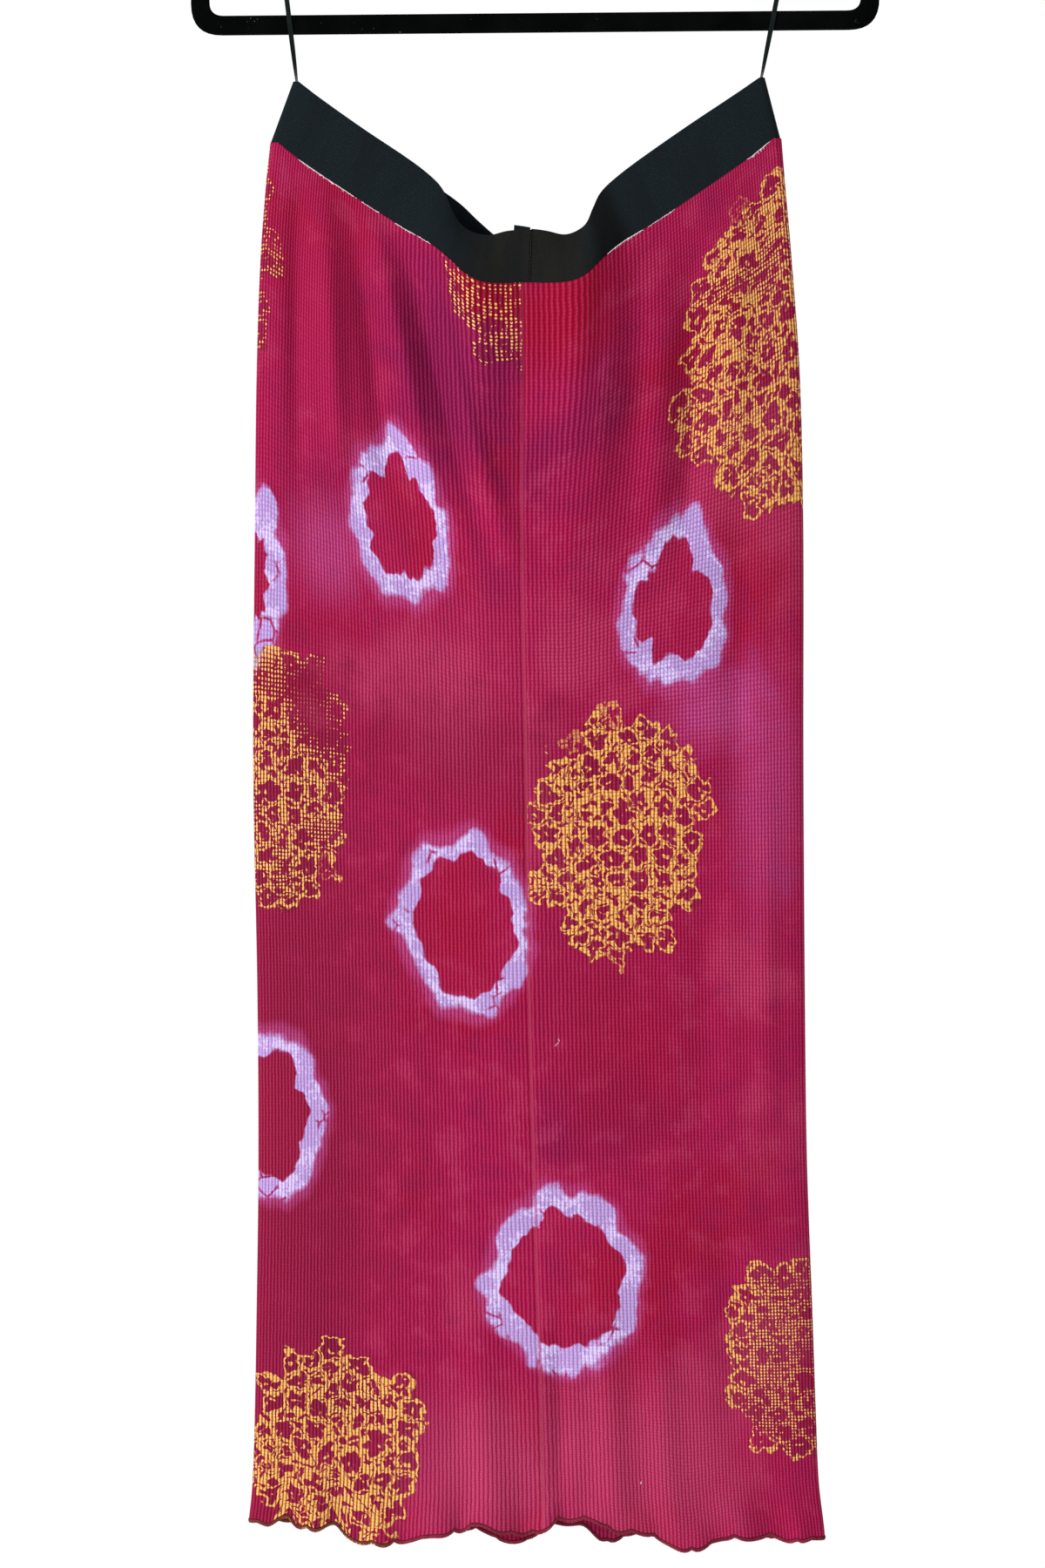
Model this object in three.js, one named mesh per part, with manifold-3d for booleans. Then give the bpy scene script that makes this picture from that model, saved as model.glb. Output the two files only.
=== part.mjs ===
// A tube skirt of waffle knit, hanging by its two ribbon loops from a slim flocked clothes hanger.
//
// The skirt is one length of knit closed by a single seam down the middle of the front, topped by a
// wide elastic band that is joined at the same place. The loops are sewn inside the band at the two
// side folds, go up one face of the hanger, over a notch in its shoulder and down the other face.
// Millimetres. +X is to the right seen from the front, +Y runs from the front to the back, +Z is up.
// The origin is the point of the hook that bears on a rod, so everything hangs below it.
import * as THREE from "three";
import { mergeVertices } from "three/addons/utils/BufferGeometryUtils.js";
import Module from "manifold-3d";

// ---- Driving dimensions ----------------------------------------------------------------------
const GAP = 0.3; // between pieces that touch
const SEAM_GAP = 0.35; // between the elastic and the knit, whose edges twist against each other

const HANGER = {
  width: 445,
  bottomZ: -231, // underside of the trouser bar
  thick: 5.5,
  barHeight: 12.5,
  endWidth: 12,
  endHeight: 44, // from the underside of the bar to where the shoulder line starts
  shoulderRise: 109, // of the shoulder line, from the end of the hanger to its middle
  railHeight: 14.5, // of the shoulder rail, measured upright
  neckHalf: 9,
  neckHeight: 160,
  bevel: 1,
};
const NOTCH = { x: 165.5, width: 8, depth: 3.5 };
const BOSS = { radius: 4.6, height: 22, boreDepth: 14 };
const HOOK = { wire: 3.4, innerRadius: 19, bendZ: -50, tipAngle: 205, joinAngle: -48 };

const ELASTIC_THICK = 1.6;
const KNIT_THICK = 2;
const RIBBON = { width: 3, thick: 1, tail: 12, strandY: 1.3, inset: 4.5 };

const BAND_X = -7; // the skirt hangs a little to the left of the hook
const JOIN_X = -1; // from BAND_X to the join of the elastic, where the knit's seam starts too
const JOIN_TAB = { width: 11, thick: 3, above: 2.5, short: 2, from: -10 };

// The edges of the elastic from the middle of the skirt to the start of the side fold: how far
// across, at what height, and how far out from the skirt's flat middle plane.
const FRONT_TOP_EDGE = [
  { across: 0, z: -358, out: 9 },
  { across: 12, z: -358.6, out: 9 },
  { across: 24, z: -361.6, out: 8.5 },
  { across: 32, z: -360.8, out: 8 },
  { across: 39, z: -355.5, out: 8 },
  { across: 44, z: -345.5, out: 8.5 },
  { across: 48, z: -336.8, out: 9 },
  { across: 56, z: -327.8, out: 8.5 },
  { across: 72, z: -315.4, out: 7.5 },
  { across: 105, z: -292.6, out: 6 },
  { across: 135, z: -271.5, out: 4 },
  { across: 148.5, z: -261.7, out: 3 },
];
const FRONT_SEAM_EDGE = [
  { across: 0, z: -392.8, out: 26 },
  { across: 12, z: -393.2, out: 27 },
  { across: 22, z: -393.4, out: 29.5 },
  { across: 31, z: -392, out: 31 },
  { across: 39, z: -388, out: 29 },
  { across: 47, z: -380, out: 23 },
  { across: 55, z: -373, out: 17 },
  { across: 64, z: -366.7, out: 12 },
  { across: 82, z: -356.5, out: 8.5 },
  { across: 115, z: -335, out: 7 },
  { across: 146, z: -315, out: 5 },
  { across: 160, z: -303.5, out: 4 },
];
const BACK_TOP_EDGE = [
  { across: 0, z: -369, out: 9 },
  { across: 12, z: -367.5, out: 9 },
  { across: 24, z: -360, out: 8.5 },
  { across: 40, z: -345.5, out: 8 },
  { across: 59, z: -328, out: 8 },
  { across: 72, z: -317.5, out: 7.5 },
  { across: 105, z: -293.5, out: 6 },
  { across: 135, z: -271.5, out: 4 },
  { across: 148.5, z: -261.7, out: 3 },
];
const BACK_SEAM_EDGE = [
  { across: 0, z: -404, out: 25 },
  { across: 14, z: -402.5, out: 25 },
  { across: 28, z: -395.5, out: 23 },
  { across: 42, z: -385, out: 18 },
  { across: 58, z: -372.5, out: 13 },
  { across: 76, z: -360, out: 9 },
  { across: 115, z: -335, out: 7 },
  { across: 146, z: -315, out: 5 },
  { across: 160, z: -303.5, out: 4 },
];

// The outline of the hanging knit: where its two side folds and its front seam stand at each height.
const OUTLINE = [
  { z: -300, left: -171, right: 157.5, seam: -10.3 },
  { z: -330, left: -174.4, right: 159.7, seam: -10.3 },
  { z: -380, left: -178.4, right: 163.6, seam: -10.3 },
  { z: -450, left: -181.3, right: 168, seam: -11 },
  { z: -550, left: -183.3, right: 169.5, seam: -11.5 },
  { z: -700, left: -185.7, right: 168.3, seam: -10 },
  { z: -850, left: -184.3, right: 167.9, seam: -9.3 },
  { z: -960, left: -184.6, right: 168.3, seam: -7.1 },
  { z: -1060, left: -186.7, right: 171, seam: -5.2 },
  { z: -1130, left: -188.6, right: 172.8, seam: -3.5 },
  { z: -1170, left: -190.5, right: 174.2, seam: -2.8 },
  { z: -1200, left: -194, right: 177.5, seam: -2.5 },
];

// The wavy hem, from the left fold (-1) past the seam (0) to the right fold (1).
const FRONT_HEM = [
  { at: -1, z: -1191 },
  { at: -0.87, z: -1193 },
  { at: -0.72, z: -1197 },
  { at: -0.55, z: -1207 },
  { at: -0.4, z: -1204 },
  { at: -0.22, z: -1197 },
  { at: -0.08, z: -1199 },
  { at: 0.14, z: -1192 },
  { at: 0.3, z: -1202 },
  { at: 0.44, z: -1206 },
  { at: 0.54, z: -1212 },
  { at: 0.68, z: -1203 },
  { at: 0.85, z: -1205 },
  { at: 1, z: -1203 },
];
const BACK_HEM = [
  { at: -1, z: -1191 },
  { at: -0.8, z: -1196 },
  { at: -0.6, z: -1193 },
  { at: -0.4, z: -1199 },
  { at: -0.16, z: -1207 },
  { at: 0, z: -1204 },
  { at: 0.12, z: -1200 },
  { at: 0.26, z: -1206 },
  { at: 0.5, z: -1199 },
  { at: 0.75, z: -1205 },
  { at: 1, z: -1203 },
];

// The soft folds of the hanging knit. Each runs from topAt to endAt across a face, between two
// distances below the waist seam, and stands out (or in, below 0) by up to rise.
const FRONT_FOLDS = [
  { topAt: -0.9, endAt: -0.84, from: 20, to: 200, width: 9, rise: -2.4 },
  { topAt: -0.8, endAt: -0.68, from: 10, to: 170, width: 10, rise: 2.6 },
  { topAt: -0.7, endAt: -0.56, from: 10, to: 150, width: 9, rise: -2.4 },
  { topAt: -0.6, endAt: -0.38, from: 5, to: 160, width: 12, rise: 2.8 },
  { topAt: -0.46, endAt: -0.22, from: 5, to: 170, width: 12, rise: -3.2 },
  { topAt: 0.36, endAt: 0.26, from: 5, to: 170, width: 13, rise: 2.4 },
  { topAt: 0.52, endAt: 0.48, from: 20, to: 210, width: 12, rise: -2.4 },
  { topAt: 0.72, endAt: 0.62, from: 10, to: 160, width: 14, rise: 2.6 },
  { topAt: 0.76, endAt: 0.74, from: 190, to: 420, width: 15, rise: -2.2 },
  { topAt: 0.84, endAt: 0.82, from: 380, to: 640, width: 17, rise: 2 },
  { topAt: 0.42, endAt: 0.4, from: 480, to: 700, width: 18, rise: -1.6 },
  { topAt: -0.5, endAt: -0.46, from: 420, to: 660, width: 22, rise: 1.6 },
  { topAt: -0.3, endAt: -0.26, from: 640, to: 860, width: 20, rise: 2.6 },
  { topAt: 0.3, endAt: 0.34, from: 660, to: 880, width: 20, rise: 2.8 },
  { topAt: -0.66, endAt: -0.7, from: 560, to: 860, width: 22, rise: -2 },
];
const BACK_FOLDS = [
  { topAt: -0.84, endAt: -0.7, from: 15, to: 190, width: 11, rise: -2.4 },
  { topAt: -0.68, endAt: -0.5, from: 10, to: 170, width: 12, rise: 2.6 },
  { topAt: -0.5, endAt: -0.3, from: 5, to: 180, width: 13, rise: -2.6 },
  { topAt: 0.46, endAt: 0.28, from: 5, to: 190, width: 13, rise: -2.8 },
  { topAt: 0.64, endAt: 0.5, from: 15, to: 160, width: 12, rise: 2.4 },
  { topAt: 0.84, endAt: 0.76, from: 10, to: 230, width: 12, rise: -2.2 },
  { topAt: -0.12, endAt: -0.1, from: 330, to: 600, width: 20, rise: 2 },
  { topAt: 0.56, endAt: 0.54, from: 300, to: 560, width: 22, rise: -1.8 },
  { topAt: -0.6, endAt: -0.56, from: 560, to: 860, width: 22, rise: 2.4 },
  { topAt: 0.2, endAt: 0.24, from: 620, to: 880, width: 24, rise: -2.2 },
];

// How far the two faces stand apart, and how long the bulge under the band lasts.
const BODY_FOLD_RADIUS = 5;
const FRONT_BELLY = 9;
const BACK_BELLY = 8;
const BELLY_POWER = 0.6;
const BULGE = { peak: 60, swell: 0.16, end: 270 };
const DRAPE_LENGTH = 180; // below the waist seam, where the knit reaches its even spread
const HEM_RIPPLE = { length: 70, out: 3.5, wavesFront: 4.5, wavesBack: 3.5 };

// How finely the walls are cut.
const GRID = { front: 42, fold: 4, back: 28, knitRows: 22, bandRows: 2 };

// ---- Small tools -----------------------------------------------------------------------------
const wasm = await Module();
wasm.setup();

const smooth = (t) => {
  const c = Math.min(1, Math.max(0, t));
  return c * c * (3 - 2 * c);
};

// A smooth curve through a table's rows: the value of one column where another column is "at".
function lookUp(table, key, column, at) {
  const sign = table[1][key] > table[0][key] ? 1 : -1;
  const last = table.length - 1;
  let i = table.findIndex((row) => sign * row[key] > sign * at) - 1;
  if (i < 0) i = sign * at <= sign * table[0][key] ? 0 : last - 1;
  const slope = (j) => {
    const a = table[Math.max(0, j - 1)];
    const b = table[Math.min(last, j + 1)];
    return (b[column] - a[column]) / (b[key] - a[key]);
  };
  const step = table[i + 1][key] - table[i][key];
  const t = Math.min(1, Math.max(0, (at - table[i][key]) / step));
  const [t2, t3] = [t * t, t * t * t];
  return (
    (2 * t3 - 3 * t2 + 1) * table[i][column] +
    (t3 - 2 * t2 + t) * step * slope(i) +
    (3 * t2 - 2 * t3) * table[i + 1][column] +
    (t3 - t2) * step * slope(i + 1)
  );
}

function solidOf(geometry) {
  const bare = geometry.clone();
  bare.deleteAttribute("normal");
  bare.deleteAttribute("uv");
  const merged = mergeVertices(bare, 1e-4);
  return new wasm.Manifold(
    new wasm.Mesh({
      numProp: 3,
      vertProperties: new Float32Array(merged.attributes.position.array),
      triVerts: new Uint32Array(merged.index.array),
    }),
  );
}

function geometryOf(solid) {
  const made = solid.getMesh();
  const geometry = new THREE.BufferGeometry();
  geometry.setAttribute("position", new THREE.BufferAttribute(made.vertProperties, made.numProp));
  geometry.setIndex(new THREE.BufferAttribute(made.triVerts, 1));
  geometry.computeVertexNormals();
  return geometry;
}

// A wall of even thickness about a grid of points, rows from the top down and columns left to right
// as seen from outside. Its four edges are closed square; a level row is cut level across the wall,
// so that two walls meet evenly there.
function wall(grid, thick, levelRow) {
  const rows = grid.length;
  const columns = grid[0].length;
  const at = (i, j) =>
    grid[Math.min(rows - 1, Math.max(0, i))][Math.min(columns - 1, Math.max(0, j))];
  const position = [];
  for (const side of [1, -1]) {
    for (let i = 0; i < rows; i++) {
      for (let j = 0; j < columns; j++) {
        const across = at(i, j + 1).clone().sub(at(i, j - 1));
        const down = at(i + 1, j).clone().sub(at(i - 1, j));
        if (i === levelRow) {
          across.z = 0;
          down.set(0, 0, -1);
        }
        const normal = down.cross(across).normalize();
        position.push(...at(i, j).clone().addScaledVector(normal, (side * thick) / 2));
      }
    }
  }
  const outer = (i, j) => i * columns + j;
  const inner = (i, j) => rows * columns + i * columns + j;
  const index = [];
  const quad = (a, b, c, d) => index.push(a, b, c, a, c, d);
  for (let i = 0; i < rows - 1; i++) {
    for (let j = 0; j < columns - 1; j++) {
      quad(outer(i, j), outer(i + 1, j), outer(i + 1, j + 1), outer(i, j + 1));
      quad(inner(i, j), inner(i, j + 1), inner(i + 1, j + 1), inner(i + 1, j));
    }
    quad(outer(i, 0), inner(i, 0), inner(i + 1, 0), outer(i + 1, 0));
    const end = columns - 1;
    quad(outer(i, end), outer(i + 1, end), inner(i + 1, end), inner(i, end));
  }
  for (let j = 0; j < columns - 1; j++) {
    const end = rows - 1;
    quad(outer(0, j), outer(0, j + 1), inner(0, j + 1), inner(0, j));
    quad(outer(end, j), inner(end, j), inner(end, j + 1), outer(end, j + 1));
  }
  const geometry = new THREE.BufferGeometry();
  geometry.setAttribute("position", new THREE.Float32BufferAttribute(position, 3));
  geometry.setIndex(index);
  geometry.computeVertexNormals();
  return geometry;
}

const part = new THREE.Group();

function addPiece(name, geometry, material) {
  const mesh = new THREE.Mesh(geometry, material);
  mesh.name = name;
  part.add(mesh);
  return mesh;
}

// ---- Hanger ----------------------------------------------------------------------------------
const flock = new THREE.MeshStandardMaterial({ color: 0x0b0c0d, roughness: 0.95, metalness: 0 });
const steel = new THREE.MeshStandardMaterial({ color: 0xb9bbbe, roughness: 0.25, metalness: 1 });

const shoulderZ = (x) =>
  HANGER.bottomZ +
  HANGER.endHeight +
  HANGER.shoulderRise * (1 - Math.abs(x) / (HANGER.width / 2));
const notchFloor = shoulderZ(NOTCH.x + NOTCH.width / 2) - NOTCH.depth;

// A closed outline through corners that are each rounded off from "cut" millimetres before them.
function roundedOutline(target, corners) {
  const count = corners.length;
  const towards = (from, to) => {
    const a = new THREE.Vector2(from.x, from.z);
    const b = new THREE.Vector2(to.x, to.z);
    return a.add(b.sub(a).normalize().multiplyScalar(from.cut));
  };
  corners.forEach((corner, i) => {
    const before = towards(corner, corners[(i + count - 1) % count]);
    const after = towards(corner, corners[(i + 1) % count]);
    if (i === 0) target.moveTo(before.x, before.y);
    else target.lineTo(before.x, before.y);
    target.quadraticCurveTo(corner.x, corner.z, after.x, after.y);
  });
  target.closePath();
  return target;
}

// The right half of an outline, then the same corners mirrored back along the left half.
const bothHalves = (right) => [
  ...right,
  ...right
    .slice()
    .reverse()
    .map((corner) => ({ ...corner, x: -corner.x })),
];

function hangerFrame() {
  const half = HANGER.width / 2;
  const outer = roundedOutline(
    new THREE.Shape(),
    bothHalves([
      { x: half, z: HANGER.bottomZ, cut: 20 },
      { x: half, z: shoulderZ(half), cut: 18 },
      { x: HANGER.neckHalf, z: shoulderZ(HANGER.neckHalf), cut: 6 },
      { x: HANGER.neckHalf - 2, z: HANGER.bottomZ + HANGER.neckHeight, cut: 3 },
    ]),
  );
  const innerHalf = half - HANGER.endWidth;
  const apexZ = shoulderZ(0) - HANGER.railHeight;
  const inner = roundedOutline(
    new THREE.Path(),
    bothHalves([
      { x: innerHalf, z: HANGER.bottomZ + HANGER.barHeight, cut: 9 },
      { x: innerHalf, z: shoulderZ(innerHalf) - HANGER.railHeight, cut: 9 },
      { x: 10, z: apexZ - 6, cut: 8 },
    ]),
  );
  outer.holes.push(inner);
  const { thick, bevel } = HANGER;
  const plate = new THREE.ExtrudeGeometry(outer, {
    depth: thick - 2 * bevel,
    bevelThickness: bevel,
    bevelSize: bevel,
    bevelOffset: -bevel,
    bevelSegments: 1,
    curveSegments: 5,
  });
  plate.rotateX(Math.PI / 2).translate(0, thick / 2 - bevel, 0);
  const neckTop = HANGER.bottomZ + HANGER.neckHeight;
  const boss = new THREE.CylinderGeometry(BOSS.radius, BOSS.radius, BOSS.height, 20);
  boss.rotateX(Math.PI / 2).translate(0, 0, neckTop - BOSS.height / 2 + 2);
  const boreRadius = HOOK.wire / 2 + GAP;
  const bore = new THREE.CylinderGeometry(boreRadius, boreRadius, BOSS.boreDepth * 2, 14);
  bore.rotateX(Math.PI / 2).translate(0, 0, neckTop + 2);
  let frame = solidOf(plate).add(solidOf(boss)).subtract(solidOf(bore));
  for (const sign of [-1, 1]) {
    const notch = new THREE.BoxGeometry(NOTCH.width, 2 * thick, 20);
    notch.translate(sign * NOTCH.x, 0, notchFloor + 10);
    frame = frame.subtract(solidOf(notch));
  }
  return geometryOf(frame);
}

// The hook's wire: up out of the neck, then round the rod from the lower right over the top.
function hangerHook() {
  const radius = HOOK.innerRadius + HOOK.wire / 2;
  const centreZ = -HOOK.innerRadius;
  const footZ = HANGER.bottomZ + HANGER.neckHeight + 2 - BOSS.boreDepth + GAP;
  const onCircle = (degrees) => {
    const angle = THREE.MathUtils.degToRad(degrees);
    return new THREE.Vector3(radius * Math.cos(angle), 0, centreZ + radius * Math.sin(angle));
  };
  const straight = [footZ, (footZ + HOOK.bendZ) / 2, HOOK.bendZ - 4, HOOK.bendZ];
  const points = straight.map((z) => new THREE.Vector3(0, 0, z));
  const join = onCircle(HOOK.joinAngle);
  points.push(new THREE.Vector3(join.x * 0.36, 0, (HOOK.bendZ + join.z) / 2 - 1.2));
  const steps = 15;
  for (let i = 0; i <= steps; i++) {
    points.push(onCircle(HOOK.joinAngle + ((HOOK.tipAngle - HOOK.joinAngle) * i) / steps));
  }
  const section = new THREE.Shape();
  const sides = 10;
  for (let k = 0; k < sides; k++) {
    const angle = (2 * Math.PI * k) / sides;
    const [x, y] = [(HOOK.wire / 2) * Math.cos(angle), (HOOK.wire / 2) * Math.sin(angle)];
    if (k === 0) section.moveTo(x, y);
    else section.lineTo(x, y);
  }
  section.closePath();
  return new THREE.ExtrudeGeometry(section, {
    steps: 44,
    bevelEnabled: false,
    extrudePath: new THREE.CatmullRomCurve3(points, false, "centripetal"),
  });
}

addPiece("hanger_frame", hangerFrame(), flock);
addPiece("hanger_hook", hangerHook(), steel);

// ---- Elastic band ----------------------------------------------------------------------------
const elastic = new THREE.MeshStandardMaterial({ color: 0x23282a, roughness: 0.85, metalness: 0 });

// One edge of the tube from the left fold to the right fold, as a curve by its length.
function edgeCurve(rows, sideY) {
  const point = (row, sign) =>
    new THREE.Vector3(BAND_X + sign * row.across, sideY * row.out, row.z);
  const left = rows.slice(1).reverse();
  return new THREE.CatmullRomCurve3(
    [...left.map((row) => point(row, -1)), ...rows.map((row) => point(row, 1))],
    false,
    "centripetal",
  );
}
const edgeLoop = (frontRows, backRows) => ({
  front: edgeCurve(frontRows, -1),
  back: edgeCurve(backRows, 1),
  radius: frontRows.at(-1).out,
});
const topEdge = edgeLoop(FRONT_TOP_EDGE, BACK_TOP_EDGE);
const seamEdge = edgeLoop(FRONT_SEAM_EDGE, BACK_SEAM_EDGE);

// The stations round the tube: the right half of the front from the seam, the right fold, the back,
// the left fold, and the left half of the front back to the seam. "at" runs from -1 at the left
// fold to 1 at the right fold, and "turn" from 0 at the front of a fold to 1 at its back.
function stations() {
  const list = [];
  const half = GRID.front / 2;
  const slit = GAP / seamEdge.front.getLength();
  for (let i = 0; i <= half; i++) list.push({ face: "front", at: slit + (1 - slit) * (i / half) });
  for (let i = 1; i < GRID.fold; i++) list.push({ face: "right", turn: i / GRID.fold });
  for (let i = 0; i <= GRID.back; i++) list.push({ face: "back", at: 1 - (2 * i) / GRID.back });
  for (let i = 1; i < GRID.fold; i++) list.push({ face: "left", turn: 1 - i / GRID.fold });
  for (let i = half; i >= 0; i--) {
    list.push({ face: "front", at: -slit - (1 - slit) * (i / half) });
  }
  return list;
}

// A point of an edge loop at a station.
function onEdge(loop, station) {
  if (station.turn !== undefined) {
    const sign = station.face === "right" ? 1 : -1;
    const start = loop.front.getPointAt(sign > 0 ? 1 : 0);
    const angle = Math.PI * station.turn;
    const out = loop.radius * Math.sin(angle);
    return start.add(new THREE.Vector3(sign * out, loop.radius * (1 - Math.cos(angle)), 0));
  }
  const { at } = station;
  if (station.face === "back") return loop.back.getPointAt((1 + at) / 2);
  const middle = 0.5 + JOIN_X / loop.front.getLength();
  return loop.front.getPointAt(at < 0 ? middle * (1 + at) : middle + (1 - middle) * at);
}

// The seam between elastic and knit, station by station, with half the upright gap that leaves the
// two apart where the seam slopes.
const around = stations();
const seamLine = around.map((station) => onEdge(seamEdge, station));
const halfGap = seamLine.map((point, j) => {
  const across = seamLine[Math.min(j + 1, seamLine.length - 1)].clone();
  across.sub(seamLine[Math.max(j - 1, 0)]);
  return ((SEAM_GAP / 2) * across.length()) / Math.hypot(across.x, across.y);
});

// Along the sloping stretches the elastic's cross lines lean, square to its edges.
const BAND_LEAN = 0.07;
const lean = (at) => at - Math.sign(at) * BAND_LEAN * Math.sin(Math.PI * smooth(Math.abs(at)));

function waistband() {
  const grid = [];
  for (let i = 0; i <= GRID.bandRows; i++) {
    grid.push(
      around.map((station, j) => {
        const high = station.turn === undefined ? { ...station, at: lean(station.at) } : station;
        const bottom = seamLine[j].clone();
        bottom.z += halfGap[j];
        return onEdge(topEdge, high).lerp(bottom, i / GRID.bandRows);
      }),
    );
  }
  return wall(grid, ELASTIC_THICK, GRID.bandRows);
}

// The turned-in ends of the elastic, lying doubled against its inside next to the join.
function joinTab() {
  const edgeAt = (loop, x) => {
    const length = loop.front.getLength();
    return loop.front.getPointAt(0.5 + x / length);
  };
  const inward = (JOIN_TAB.thick + ELASTIC_THICK) / 2 + GAP;
  const grid = [];
  for (let i = 0; i <= 3; i++) {
    const row = [];
    for (let j = 0; j <= 3; j++) {
      const x = JOIN_TAB.from + (JOIN_TAB.width * j) / 3;
      const top = edgeAt(topEdge, x);
      const bottom = edgeAt(seamEdge, x);
      const down = bottom.clone().sub(top).normalize();
      const start = top.addScaledVector(down, -JOIN_TAB.above);
      const end = bottom.addScaledVector(down, -JOIN_TAB.short);
      const normal = new THREE.Vector3(0, -down.z, down.y).normalize();
      row.push(start.lerp(end, i / 3).addScaledVector(normal, inward));
    }
    grid.push(row);
  }
  return wall(grid, JOIN_TAB.thick);
}

addPiece("waistband", waistband(), elastic);
addPiece("waistband_join", joinTab(), elastic);

// ---- Knit tube -------------------------------------------------------------------------------
const knit = new THREE.MeshStandardMaterial({ color: 0xb3204c, roughness: 0.9, metalness: 0 });

// How far the folds of a face stand out at a place on it, "below" millimetres under the seam.
function foldRise(folds, at, below, halfWidth) {
  return folds.reduce((sum, fold) => {
    const along = (below - fold.from) / (fold.to - fold.from);
    if (along <= 0 || along >= 1) return sum;
    const centre = fold.topAt + (fold.endAt - fold.topAt) * along;
    const away = ((at - centre) * halfWidth) / fold.width;
    return sum + fold.rise * Math.sin(Math.PI * along) * Math.exp(-away * away);
  }, 0);
}

// The bulge that the band's curl gives the knit: it swells a little, then dies away downwards.
const bulgeShare = (below) =>
  (1 + BULGE.swell * (below / BULGE.peak) * Math.exp(1 - below / BULGE.peak)) *
  (1 - smooth(below / BULGE.end));

function onKnit(station, top, share) {
  const onFront = station.face === "front";
  const sideways = station.turn === undefined ? station.at : station.face === "right" ? 1 : -1;
  const hem = lookUp(onFront ? FRONT_HEM : BACK_HEM, "at", "z", sideways);
  const z = top.z + (hem - top.z) * share;
  const below = top.z - z;
  const spread = smooth(below / DRAPE_LENGTH);
  const radius = seamEdge.radius + (BODY_FOLD_RADIUS - seamEdge.radius) * spread;
  const left = lookUp(OUTLINE, "z", "left", z) + radius;
  const right = lookUp(OUTLINE, "z", "right", z) - radius;
  if (station.turn !== undefined) {
    const angle = Math.PI * station.turn;
    const x = (sideways > 0 ? right : left) + sideways * radius * Math.sin(angle);
    return new THREE.Vector3(x, -radius * Math.cos(angle), z);
  }
  // The seam's own spacing across the face eases into an even one further down.
  const { at } = station;
  const middle = onFront ? lookUp(OUTLINE, "z", "seam", z) : (left + right) / 2;
  const evenX = middle + (at < 0 ? middle - left : right - middle) * at;
  const seamLeft = seamEdge.front.getPointAt(0).x;
  const seamRight = seamEdge.front.getPointAt(1).x;
  const pulledX = left + ((top.x - seamLeft) / (seamRight - seamLeft)) * (right - left);
  const x = pulledX + (evenX - pulledX) * spread;
  const side = onFront ? -1 : 1;
  const belly = (onFront ? FRONT_BELLY : BACK_BELLY) * (1 - at * at) ** BELLY_POWER;
  const bulge = Math.max(0, Math.abs(top.y) - seamEdge.radius) * bulgeShare(below);
  const folds = foldRise(onFront ? FRONT_FOLDS : BACK_FOLDS, at, below, (right - left) / 2);
  const nearHem = smooth(1 - (z - hem) / HEM_RIPPLE.length);
  const waves = onFront ? HEM_RIPPLE.wavesFront : HEM_RIPPLE.wavesBack;
  const ripple = HEM_RIPPLE.out * nearHem * Math.sin(2 * Math.PI * waves * at);
  const edge = smooth((1 - Math.abs(at)) / 0.1);
  const out = radius + bulge + belly * spread + edge * (folds + ripple);
  return new THREE.Vector3(x, side * out, z);
}

function skirtBody() {
  const tops = seamLine.map((point, j) => {
    const top = point.clone();
    top.z -= halfGap[j];
    return top;
  });
  const grid = [];
  for (let i = 0; i <= GRID.knitRows; i++) {
    const share = i / GRID.knitRows;
    grid.push(around.map((station, j) => (i ? onKnit(station, tops[j], share) : tops[j])));
  }
  return wall(grid, KNIT_THICK, 0);
}

addPiece("skirt_body", skirtBody(), knit);

// ---- Ribbon loops ----------------------------------------------------------------------------
const satin = new THREE.MeshStandardMaterial({ color: 0x1b2022, roughness: 0.45, metalness: 0 });

function hangerLoop(sign) {
  const corner = topEdge.front.getPointAt(sign > 0 ? 1 : 0);
  const cornerX = corner.x - sign * (RIBBON.inset - topEdge.radius);
  const cornerZ = corner.z;
  const faceY = HANGER.thick / 2 + GAP + RIBBON.thick / 2;
  const overZ = notchFloor + GAP + RIBBON.thick / 2;
  const strand = [
    { y: RIBBON.strandY, z: cornerZ - RIBBON.tail },
    { y: RIBBON.strandY, z: cornerZ - RIBBON.tail / 2 },
    { y: RIBBON.strandY, z: cornerZ + 1 },
    { y: faceY + 0.2, z: HANGER.bottomZ - 2 },
    { y: faceY + 0.2, z: HANGER.bottomZ + HANGER.barHeight + 4 },
    { y: faceY + 0.1, z: overZ - 6 },
    { y: faceY, z: overZ - 0.4 },
    { y: faceY - 0.4, z: overZ },
  ];
  const path = [
    ...strand.map(({ y, z }) => ({ y: -y, z })),
    { y: 0, z: overZ },
    ...strand.slice().reverse(),
  ];
  const grid = path.map(({ y, z }) => {
    const share = Math.max(0, (z - cornerZ) / (overZ - cornerZ));
    const x = cornerX + (sign * NOTCH.x - cornerX) * share;
    return [-1, 1].map((edge) => new THREE.Vector3(x - (edge * RIBBON.width) / 2, y, z));
  });
  return wall(grid, RIBBON.thick);
}

addPiece("hanger_loop_left", hangerLoop(-1), satin);
addPiece("hanger_loop_right", hangerLoop(1), satin);

export default part;
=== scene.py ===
"""A long tube skirt of tie-dyed, gold-printed waffle knit, hanging by its two ribbon loops from a slim
flocked clothes hanger. Metres, in the frame of the CAD model: X to the right, Y away, Z up, with the
origin where the hanger's hook bears on its rod."""

import math

import bmesh
import bpy
import numpy as np
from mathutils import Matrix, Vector
from mathutils.geometry import tessellate_polygon


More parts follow.
